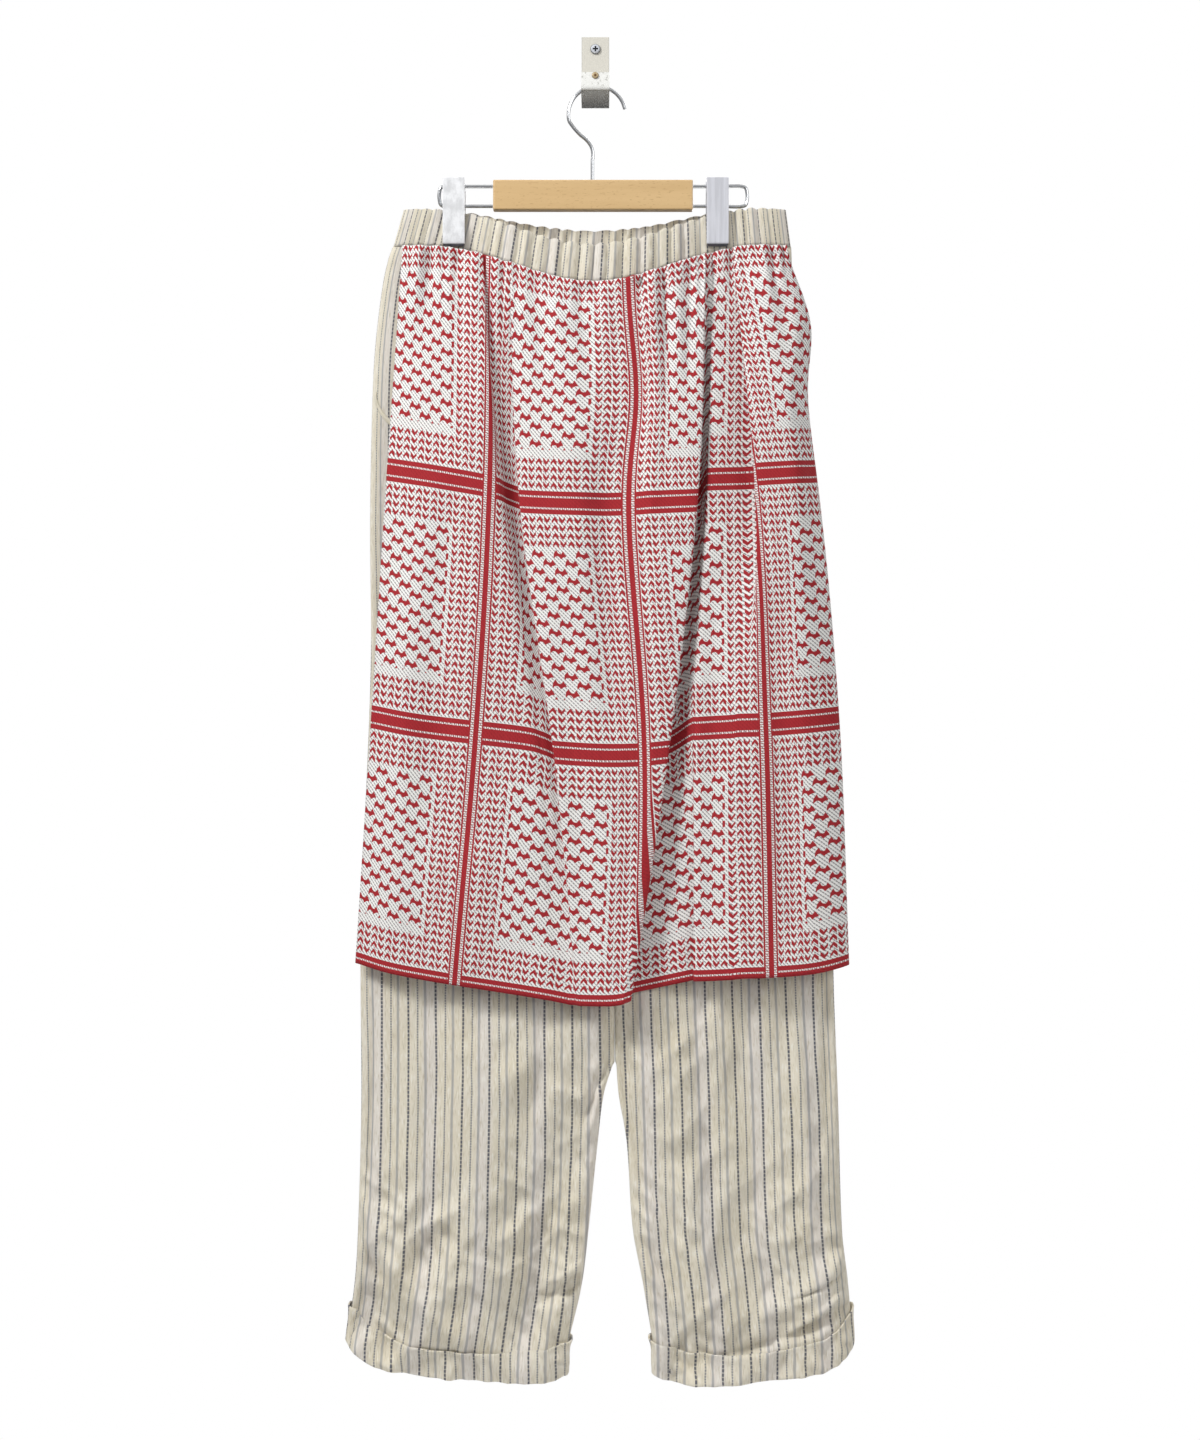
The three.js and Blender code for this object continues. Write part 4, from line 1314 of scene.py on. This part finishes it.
    def panel_point(self, side: Side, half: Half, u: float, v: float) -> Vector:
        """A point of a panel by its shares across and down."""
        p = self.point(side, half, u, self.row_z(side, half, u, v))
        w = self.waist
        if half is Half.FRONT:
            p.y = min(p.y, HANG_Y - 0.75)
        else:
            p.y = max(p.y, HANG_Y + 0.75)
        seam = self.centre_x(p.z) - side.hand * 0.4
        p.x = min(p.x, seam) if side is Side.LEFT else max(p.x, seam)
        return p

    def across_cloth(self, side: Side, u: float, p: Vector) -> float:
        """The distance from the side seam, on the flat cloth."""
        away = side.hand * (p.x - self.side_x(side, p.z))
        fuller = 1.28 - 0.28 * ease((self.waist.side_seam_z - p.z) / 320)
        return (away * 1.02 + 5 * ease(u * 8)) * fuller

    def panel(self, side: Side, half: Half, look: bpy.types.Material) -> bpy.types.Object:
        """Makes one panel."""
        name = f"leg_{side.value}_{half.value}"

        def point(u: float, v: float) -> Vector:
            """The panel's surface."""
            return self.panel_point(side, half, u, v)

        def flat(u: float, _: float, p: Vector) -> tuple[float, float]:
            """The panel's flat cloth."""
            return side.hand * self.across_cloth(side, u, p), self.waist.side_seam_z - p.z

        across = even(96)
        above, below = (60, 160) if half is Half.FRONT else (150, 96)
        down = [*even(above, 0, 0.62)[:-1], *even(below, 0.62, self.cuff_row), 0.98, 1.0]
        piece = cloth(
            f"{name}_cloth", point, flat, across, down, self.wall, Vector((0, half.face, 0)),
        )
        dress(piece, look, "striped_cloth", name)
        return piece

    def cuff(self, side: Side, half: Half, look: bpy.types.Material) -> bpy.types.Object:
        """Makes one half of a turn-up, which lies on the panel and rolls under at the hem."""
        name = f"{side.value}_{half.value}"
        seed = 40.0 + 5 * (side is Side.LEFT) + 2 * (half is Half.FRONT)
        base = self.wall / 2 + self.waist.seam_gap + self.cuff_wall / 2

        def point(u: float, v: float) -> Vector:
            """The cuff's surface, from its top edge down and round the fold."""
            down_cuff = clamp01(v / self.cuff_turn)
            flat_v = mix(self.cuff_row, 1.0, down_cuff)
            p = self.panel_point(side, half, u, flat_v)
            q = self.panel_point(side, half, min(1.0, u + 0.01), flat_v)
            o = self.panel_point(side, half, max(0.0, u - 0.01), flat_v)
            tangent = (q - o).normalized()
            normal = Vector((0, 0, 1)).cross(tangent).normalized()
            if normal.y * half.face < 0:
                normal.negate()
            belly = 0.5 * math.sin(math.pi * down_cuff)
            loose = 1.3 * (1 - clamp01(v / 0.3)) + 0.6 * bump_at(v, 0.08)
            loose += belly * (1 + ripple(p.x, v * 20, 30, seed))
            roll = clamp01((v - self.cuff_turn) / (1 - self.cuff_turn))
            lift = (base + loose) * math.cos(roll * math.pi / 2)
            drop = 1.6 * math.sin(roll * math.pi / 2)
            wobble = 0.8 * ripple(p.x, 0, 22, seed + 1) * (1 - clamp01(v / 0.5))
            spot = p + normal * lift + Vector((0, 0, wobble - drop))
            least = HANG_Y + 0.8 * half.face
            spot.y = min(spot.y, least) if half is Half.FRONT else max(spot.y, least)
            return spot

        def flat(u: float, _: float, p: Vector) -> tuple[float, float]:
            """The cuff's flat cloth, with the stripes in line with the panel's."""
            return side.hand * self.across_cloth(side, u, p) + 1.2, 1000 + p.z

        down = [*even(14, 0, self.cuff_turn), 0.84, 0.88, 0.92, 0.96, 1.0]
        piece = cloth(
            f"cuff_{name}_cloth", point, flat, even(120), down, self.cuff_wall, Vector((0, half.face, 0)),
        )
        dress(piece, look, "striped_cloth", f"cuff_{name}")
        return piece

    def pocket_lip(self, look: bpy.types.Material) -> bpy.types.Object:
        """Makes the curved lip of the side pocket."""
        top_z, tall, forward, wide = -307.0, 31.0, 0.2, 5.0

        def point(u: float, v: float) -> Vector:
            """The lip's surface, on the front panel."""
            along = 0.035 + forward * u**1.7
            z = top_z - tall * u - wide * v
            p = self.point(Side.LEFT, Half.FRONT, along, z)
            return p + Vector((-0.35, -0.8 - 0.5 * math.sin(math.pi * v), 0))

        piece = cloth(
            "pocket_lip_cloth", point, lambda u, v, _: (wide * v + 3, tall * u), even(24), even(6), 1.0,
            Vector((0, -1, 0)),
        )
        dress(piece, look, "striped_cloth", "pocket_lip")
        return piece


# The apron


@dataclass(frozen=True)
class Line:
    """A line down the apron: its share of the sag, and its place in the flat cloth, across the
    model and before the hanging plane, each at the waist seam, the two bands and the hem."""

    sag: float
    cloth: tuple[float, float, float, float]
    x: tuple[float, float, float, float]
    out: tuple[float, float, float, float]


LINES = [
    Line(0, (-5, -5, -5, -5), (-163, -175.7, -189.2, -202.7), (2.2, 16, 14, 13)),
    Line(0.25, (44, 44, 44, 44), (-130, -131, -144, -160), (4.5, 26, 26, 24)),
    Line(0.52, (78, 92, 128, 160), (-97, -87, -64, -55), (6.8, 27, 28, 27)),
    Line(0.66, (86, 112, 146, 184), (-98.5, -75, -45, -30), (3.6, 15, 22, 25)),
    Line(0.78, (107, 134, 158, 190), (-77, -64, -36, -22), (1.9, 13, 20, 24)),
    Line(0.84, (125, 146, 167, 195), (-58, -54, -29, -17), (5.2, 19, 24, 26)),
    Line(0.92, (142, 157, 176, 201), (-71, -62, -33, -11), (10, 29, 31, 29)),
    Line(1, (196, 205, 212, 221), (-23, -19.5, 6.5, 9), (8, 37, 36, 34)),
    Line(0.99, (246, 246, 246, 231), (22, 21.5, 36, 19), (7, 28, 34, 35)),
    Line(0.95, (287, 283, 262, 236), (57, 57, 50, 24), (8, 36, 36, 35.5)),
    Line(0.9, (327, 317, 272, 241), (93, 85.5, 61, 29), (9, 33, 32, 30)),
    Line(0.84, (342, 336, 297, 264), (78, 66, 36, 7), (5.2, 21, 19, 20)),
    Line(0.68, (354, 354, 325, 290), (93, 86, 62, 31), (1.9, 13, 13, 14)),
    Line(0.34, (361, 363, 346, 342), (98, 93, 80, 88), (2.2, 20, 24, 21)),
    Line(0.3, (366, 370, 356, 352), (103, 98, 87, 83), (2.4, 25, 30, 31)),
    Line(0.25, (382, 397, 385, 382), (113, 126, 114, 112), (1.9, 17, 32, 32)),
    Line(0.22, (410, 408, 392, 388), (134, 143, 121, 122), (5.2, 24, 33, 33)),
    Line(0.2, (438, 418, 414, 414), (116, 134, 143, 148), (9, 34, 33, 33)),
    Line(0.12, (468, 461, 457, 457), (140, 167.5, 177, 184.5), (8.5, 31, 29, 28)),
    Line(0.04, (484, 480, 482, 481), (153, 185, 204, 212.5), (5, 12, 12, 12)),
    Line(0, (494, 494, 494, 494), (160, 187.5, 205.5, 213.5), (2.4, -2, -3, -3)),
]


@dataclass(frozen=True)
class Crease:
    """A small crease of the apron: where it starts and ends, across and down, and its depth."""

    from_x: float
    from_drop: float
    to_x: float
    to_drop: float
    width: float
    out: float


HEM_DROPS = [5, 6.7, 13.8, 13.5, 11, 9, 6.6, 3.5, 3, 3, 2, 4, 6, 5.5, 8, 8.7, 8.7,
             8.4, 8.5, 6, 5.7]
CREASES = [
    Crease(-151, 0, -156, 90, 5, 1.6), Crease(-140, 0, -141, 60, 4, -1.4),
    Crease(-117.5, 0, -113, 130, 5, -1.8), Crease(-104, 0, -101, 80, 4, 1.5),
    Crease(-46.3, 0, -44, 110, 5, -1.8), Crease(-30, 0, -29, 70, 4, 1.4),
    Crease(-8.5, 0, -10, 120, 5, -2.0), Crease(8, 0, 8, 70, 4, 1.4), Crease(35, 0, 31, 150, 5, -2.2),
    Crease(48.5, 0, 46, 110, 4, 1.6), Crease(58.5, 0, 57, 120, 4, -1.8), Crease(68, 0, 70, 90, 4, 1.4),
    Crease(79.5, 0, 77, 110, 4, -1.8), Crease(125.6, 0, 130, 100, 4, -1.6),
    Crease(146.6, 0, 158, 120, 5, -1.8), Crease(-120, 180, -138, 520, 14, -2.4),
    Crease(-158, 260, -172, 600, 12, 1.8), Crease(-30, 250, -2, 600, 10, -1.8),
    Crease(3, 120, 16, 420, 12, -1.8), Crease(150, 260, 168, 600, 12, -2.0),
    Crease(100, 250, 98, 600, 10, -1.8), Crease(-96, 480, -112, 608, 12, 2.0),
    Crease(46, 60, 44, 240, 7, 1.8), Crease(176, 60, 186, 330, 8, -1.6),
]


class Apron:
    """The gathered length of scarf cloth over the front."""

    levels = [0.0, 192.0, 402.5, 608.0]
    hang = 0.99
    sag = 30.0
    sag_growth = 0.2
    gather_pitch = 13.0
    gather_out = 5.0
    gather_fade = 80.0
    crease_gain = 2.2
    seam_share = 0.5
    swell_x = (120.0, 180.0)
    swell_out = 14.0
    swell_drop = 62.0
    swell_reach = 45.0
    sway_x = 24.0
    sway_out = 8.0
    sway_drop = 100.0
    wall = 0.9
    steps = 11

    def __init__(self, waist: Waist) -> None:
        """Keeps the waist it is sewn to."""
        self.waist = waist
        self.stations = list(range(len(LINES)))
        self.sags = [line.sag for line in LINES]
        self.read: dict[float, dict[str, list[float]]] = {}
        self.lengths: dict[tuple[int, float], list[float]] = {}

    def rows_at(self, drop: float) -> dict[str, list[float]]:
        """Each line's places at one drop."""
        if drop not in self.read:
            self.read[drop] = {
                key: [smooth_at(self.levels, getattr(line, key), drop) for line in LINES]
                for key in ("cloth", "x", "out")
            }
        return self.read[drop]

    def crease_at(self, x: float, drop: float) -> float:
        """The sum of the small creases at one place."""
        out = 0.0
        for c in CREASES:
            t = (drop - c.from_drop) / (c.to_drop - c.from_drop)
            if 0 <= t < 1:
                fade = 1 - t**2 if c.from_drop == 0 else ease(1 - abs(2 * t - 1) ** 3)
                out += c.out * fade * bump_at(x - mix(c.from_x, c.to_x, t), c.width)
        return out

    def gathers_at(self, x: float, drop: float) -> float:
        """How far the gathers under the seam stand out."""
        reach = self.gather_fade * (0.8 + 0.9 * ripple(x, 0, 30, 4.0))
        puff = abs(math.sin(math.pi * x / self.gather_pitch + 2.4 * ripple(x, 0, 40, 6.0)))
        return self.gather_out * (1 - ease(drop / reach)) * puff * (1 + ripple(x, 0, 17, 7.0))

    def waves_at(self, u: float, v: float, drop: float) -> float:
        """How far the soft waves of the free cloth stand out, more so at the hem."""
        place = self.flat_x(u, v)
        calm = ease(drop / 30) * ease(u * 12) * ease((1 - u) * 12)
        waves = 0.9 * ripple(place, drop * 0.35, 34, 2.0) + 0.35 * ripple(place, drop * 0.7, 12, 5.0)
        return calm * (waves + 1.6 * ease((drop - 520) / 88) * ripple(place, 0, 46, 8.0))

    def point(self, u: float, v: float) -> Vector:
        """A point of the apron by its shares across and down."""
        w = self.waist
        drop = min(v, 1.0) * self.levels[-1]
        rows = self.rows_at(drop)
        at = u * (len(LINES) - 1)
        x = smooth_at(self.stations, rows["x"], at)
        out = smooth_at(self.stations, rows["out"], at)
        sag = smooth_at(self.stations, self.sags, at)
        gather = 1 - ease(drop / self.gather_fade)
        out *= mix(self.seam_share, 1.0, ease(drop / 40))
        out += w.depth_at(x) * smooth_at(self.levels, [1, 0, 0, 0], drop)
        out += self.gathers_at(x, drop) + self.waves_at(u, v, drop)
        out += self.crease_gain * self.crease_at(x, drop) * ease(drop / 8)
        swell = bump_at(drop - self.swell_drop, self.swell_reach)
        low, high = self.swell_x
        x += self.swell_out * swell * ease((x - low) / (high - low))
        x += self.sway_out * bump_at(drop - self.sway_drop, 60) * bump_at(x - self.sway_x, 34)
        deepest = self.sag * (1 + self.sag_growth * v**2)
        dip = mix(sag * deepest, w.side_seam_z - w.seam_z(x, Half.FRONT), gather)
        long = smooth_at(self.stations, HEM_DROPS, at) * ease((drop - self.levels[2] + 40) / 245)
        z = w.side_seam_z - w.seam_gap / 2 - drop * self.hang - dip - long
        return Vector((x, HANG_Y - out, z))

    def lengths_at(self, i: int, drop: float) -> list[float]:
        """The shares of the cloth's length at even steps between line i and the next one."""
        if (i, drop) not in self.lengths:
            rows = self.rows_at(drop)
            spots = [
                Vector([smooth_at(self.stations, rows[key], i + k / self.steps) for key in ("x", "out")])
                for k in range(self.steps + 1)
            ]
            sums = [0.0]
            for a, b in zip(spots, spots[1:]):
                sums.append(sums[-1] + (b - a).length)
            self.lengths[i, drop] = [total / sums[-1] for total in sums]
        return self.lengths[i, drop]

    def flat_x(self, u: float, v: float) -> float:
        """The place across the flat cloth, which runs evenly along the cloth between two lines."""
        drop = min(v, 1.0) * self.levels[-1]
        at = u * (len(LINES) - 1)
        i = min(int(at + 1e-6), len(LINES) - 2)
        share = self.lengths_at(i, drop)[round((at - i) * self.steps)]
        places = self.rows_at(drop)["cloth"]
        return mix(places[i], places[i + 1], share)

    def build(self, look: bpy.types.Material) -> bpy.types.Object:
        """Makes the apron with its cloth's own wall."""
        across = even((len(LINES) - 1) * self.steps)
        down = [*even(30, 0, 0.15)[:-1], *even(160, 0.15, 1.0)]
        flat = lambda u, v, _: (self.flat_x(u, v), v * self.levels[-1])
        piece = cloth("apron_cloth", self.point, flat, across, down, self.wall, Vector((0, -1, 0)))
        dress(piece, look, "scarf_cloth", "apron")
        return piece


# The hanger and its bracket


@dataclass(frozen=True)
class Hanger:
    """Wire, wooden bar, clips and the bracket on the wall."""

    looks: Looks
    wire: float = 1.5
    bar_top: float = -127.2
    bar_foot: float = -152.6
    clip_wide: float = 18.6
    clip_top: float = -126.2
    clip_foot: float = -181.6
    clip_inner: float = 6.9
    clip_outer: float = 11.0
    jaw_inner: float = 5.8
    jaw_wide: float = 14.0
    loop_top: float = -131.9
    loop_foot: float = -148.7
    loop_round: float = 3.6
    hook_x: float = 1.45
    hook_z: float = -71.0
    hook_round: float = 24.2
    stem_x: float = -2.4

    def rod(self, name: str, spots: Sequence[tuple[float, float]]) -> bpy.types.Object:
        """Makes a round wire through spots (x, z) in the hanging plane."""
        curve = bpy.data.curves.new(name, "CURVE")
        curve.dimensions = "3D"
        curve.bevel_depth = self.wire * MM
        curve.bevel_resolution = 4
        curve.resolution_u = 6
        curve.use_fill_caps = True
        spline = curve.splines.new("BEZIER")
        spline.bezier_points.add(len(spots) - 1)
        for knot, (x, z) in zip(spline.bezier_points, spots):
            knot.co = Vector((x, HANG_Y, z)) * MM
            knot.handle_left_type = knot.handle_right_type = "AUTO"
        piece = bpy.data.objects.new(name, curve)
        bpy.context.scene.collection.objects.link(piece)
        choose(piece)
        bpy.ops.object.convert(target="MESH")
        piece = bpy.context.view_layer.objects.active
        for face in piece.data.polygons:
            face.use_smooth = True
        return piece

    def hook(self) -> None:
        """Makes the question-mark hook."""
        spots = []
        for turn in range(12, 193, 15):
            angle = math.radians(turn)
            spots.append((self.hook_x + self.hook_round * math.cos(angle),
                          self.hook_z + self.hook_round * math.sin(angle)))
        stem = [(self.stem_x, z) for z in (-101, -112, self.bar_top + 0.3)]
        spots += [(-20.5, -79), (-13.8, -87), (-5.6, -94.5), *stem]
        dress(self.rod("hook_wire", spots), self.looks.wire, "wire_steel", "hanger_hook")

    def loop(self, side: Side) -> None:
        """Makes one end of the wire loop."""
        inward = side.hand
        start, end = BAR_X[side] - 0.3 * inward, LOOP_X[side] + self.wire * inward
        c, top, foot = self.loop_round, self.loop_top, self.loop_foot
        spots = [
            (start, top), (mix(start, end, 0.5), top), (end + inward * c, top),
            (end + inward * c * 0.3, top - c * 0.3), (end, top - c), (end, foot + c),
            (end + inward * c * 0.3, foot + c * 0.3), (end + inward * c, foot),
            (mix(start, end, 0.5), foot), (start, foot),
        ]
        piece = self.rod(f"loop_{side.value}_wire", spots)
        dress(piece, self.looks.wire, "wire_steel", f"wire_loop_{side.value}")

    def clip_plate(self, side: Side, half: Half) -> None:
        """Makes a pressed clip plate: a channel with its foot curled in and a jaw on its inside."""
        name = f"clip_{side.value}_{half.value}"
        middle, face = CLIP_X[side], half.face
        inner, outer = HANG_Y + face * self.clip_inner, HANG_Y + face * self.clip_outer
        low = Vector((middle - self.clip_wide / 2, min(inner, outer), self.clip_foot))
        high = Vector((middle + self.clip_wide / 2, max(inner, outer), self.clip_top))
        plate = block(f"{name}_plate", low, high)
        pick(plate, lambda _, normal: normal.y * face < -0.9)
        bpy.ops.mesh.inset(thickness=0.9 * MM, depth=0)
        push(Vector((0, face * 2.8, 0)))
        pick(plate, lambda _, normal: normal.z < -0.9)
        push(Vector((0, -face * 0.9, -1.2)))
        bpy.ops.transform.resize(value=(0.95, 1, 1))
        push(Vector((0, -face * 1.0, -1.2)))
        bpy.ops.transform.resize(value=(0.9, 0.6, 1))
        soften(plate, 0.35)
        jaw_foot = self.clip_foot + 1
        near, deep = HANG_Y + face * self.jaw_inner, HANG_Y + face * (self.clip_inner + 2)
        half_jaw = self.jaw_wide / 2
        jaw = block(
            f"{name}_jaw", Vector((middle - half_jaw, min(near, deep), jaw_foot)),
            Vector((middle + half_jaw, max(near, deep), jaw_foot + 8)),
        )
        pick(jaw, lambda _, normal: normal.y * face < -0.9)
        bpy.ops.mesh.subdivide(number_cuts=3)
        soften(jaw, 0.4)
        choose(plate)
        jaw.select_set(True)
        bpy.ops.object.join()
        dress(plate, self.looks.clips[side], "clip_steel", name)

    def bar(self) -> None:
        """Makes the wooden bar, with its edges eased and a shallow inset on its front and back faces."""
        low = Vector((BAR_X[Side.LEFT], HANG_Y - 6, self.bar_foot))
        high = Vector((BAR_X[Side.RIGHT], HANG_Y + 6, self.bar_top))
        piece = block("wooden_bar", low, high)
        pick(piece, lambda _, normal: abs(normal.y) > 0.9)
        bpy.ops.mesh.inset(thickness=1.4 * MM, depth=0.25 * MM, use_individual=True)
        soften(piece, 1.0)
        dress(piece, self.looks.beech, "beech", "hanger_bar")

    def finish_cad(self) -> None:
        """Gives the pieces whose solids are shown as they are their finishes."""
        looks = {
            "wall_bracket": self.looks.plate, "wall_screw": self.looks.screw, "lip_rivet": self.looks.brass,
            "clip_left_barrel": self.looks.wire, "clip_right_barrel": self.looks.wire,
        }
        for name, look in looks.items():
            node = bpy.data.objects[name]
            if not node.data.materials:
                node.data.materials.append(look)
            for i in range(len(node.data.materials)):
                node.data.materials[i] = look

    def build(self) -> None:
        """Makes all of the hanger."""
        self.hook()
        for side in Side:
            self.loop(side)
            for half in Half:
                self.clip_plate(side, half)
        self.bar()
        self.finish_cad()


# The room


@dataclass(frozen=True)
class Lamp:
    """A square soft light: its name, place in mm, size in mm and power in watts."""

    name: str
    spot: tuple[float, float, float]
    size: float
    power: float


class Studio:
    """Camera, soft lights and a plain pale floor."""

    lamps = [
        Lamp("key", (-1300, -1200, 900), 560, 40.0),
        Lamp("fill", (1300, -1700, 100), 1300, 13.0),
        Lamp("back light", (300, 1600, 300), 1300, 22.0),
    ]
    aim_at = (0.0, -60.0, -600.0)

    camera_at = (4.0, -2262.0, -585.4)
    lens = 64.7
    floor_z = -1700.0
    floor_wide = 2400.0
    air_reach = (-0.5, 0.8)
    air_light = (0.12, 0.6)

    def build(self) -> None:
        """Makes the camera, the lights and the floor."""
        self.camera()
        for lamp in self.lamps:
            self.light(lamp)
        self.floor()
        self.air()

    def camera(self) -> None:
        """The photograph's view, level with the middle of the garment."""
        data = bpy.data.cameras.new("camera")
        data.lens = self.lens
        data.sensor_width = 36.0
        data.clip_start, data.clip_end = 0.05, 50
        camera = bpy.data.objects.new("camera", data)
        camera.location = Vector(self.camera_at) * MM
        camera.rotation_euler = (math.pi / 2, 0, 0)
        bpy.context.scene.collection.objects.link(camera)
        bpy.context.scene.camera = camera

    def light(self, lamp: Lamp) -> None:
        """One light that looks at the garment."""
        data = bpy.data.lights.new(lamp.name, "AREA")
        data.shape = "SQUARE"
        data.size = lamp.size * MM
        data.energy = lamp.power
        light = bpy.data.objects.new(lamp.name, data)
        light.location = Vector(lamp.spot) * MM
        aim = Vector(self.aim_at) * MM - light.location
        light.rotation_mode = "QUATERNION"
        light.rotation_quaternion = aim.to_track_quat("-Z", "Y")
        bpy.context.scene.collection.objects.link(light)

    def floor(self) -> None:
        """A pale floor far below the hem."""
        deselect()
        bpy.ops.mesh.primitive_plane_add(size=self.floor_wide * MM, location=(0, 0, self.floor_z * MM))
        plane = bpy.context.view_layer.objects.active
        plane.name = "floor"
        look, draft, shader = Looks.start("pale floor")
        speck = draft.cloud(draft.place("Object"), 40.0)
        draft.feed(shader.inputs["Base Color"], draft.blend(speck, (0.82, 0.82, 0.82), (0.86, 0.86, 0.86)))
        shader.inputs["Roughness"].default_value = 0.8
        plane.data.materials.append(look)

    def air(self) -> None:
        """White air all round, and plain colours on the way to the picture."""
        world = bpy.data.worlds.new("white air")
        world.use_nodes = True
        tree = world.node_tree
        air = tree.nodes["Background"]
        air.inputs["Color"].default_value = (1, 1, 1, 1)
        draft = Draft(tree)
        seen = draft.add("ShaderNodeLightPath").outputs["Is Camera Ray"]
        parts = draft.add("ShaderNodeSeparateXYZ")
        draft.feed(parts.inputs[0], draft.place("Generated"))
        level = draft.add("ShaderNodeMapRange")
        draft.feed(level.inputs["Value"], parts.outputs[2])
        bounds = (*self.air_reach, *self.air_light)
        for name, value in zip(("From Min", "From Max", "To Min", "To Max"), bounds):
            level.inputs[name].default_value = value
        draft.feed(air.inputs["Strength"], draft.either(seen, level.outputs["Result"]))
        bpy.context.scene.world = world
        bpy.context.scene.view_settings.view_transform = "Standard"


def main() -> None:
    """Builds the pants, their hanger and the room."""
    logging.basicConfig(level=logging.INFO, format="%(message)s")
    Studio().build()
    looks = Looks()
    waist = Waist()
    band = Waistband(waist)
    trousers = Trousers(waist)
    for half in Half:
        band.build(half, looks.trouser)
        for side in Side:
            trousers.panel(side, half, looks.trouser)
            trousers.cuff(side, half, looks.trouser)
    trousers.pocket_lip(looks.trouser)
    Apron(waist).build(looks.scarf)
    Hanger(looks).build()


if __name__ == "__main__":
    main()
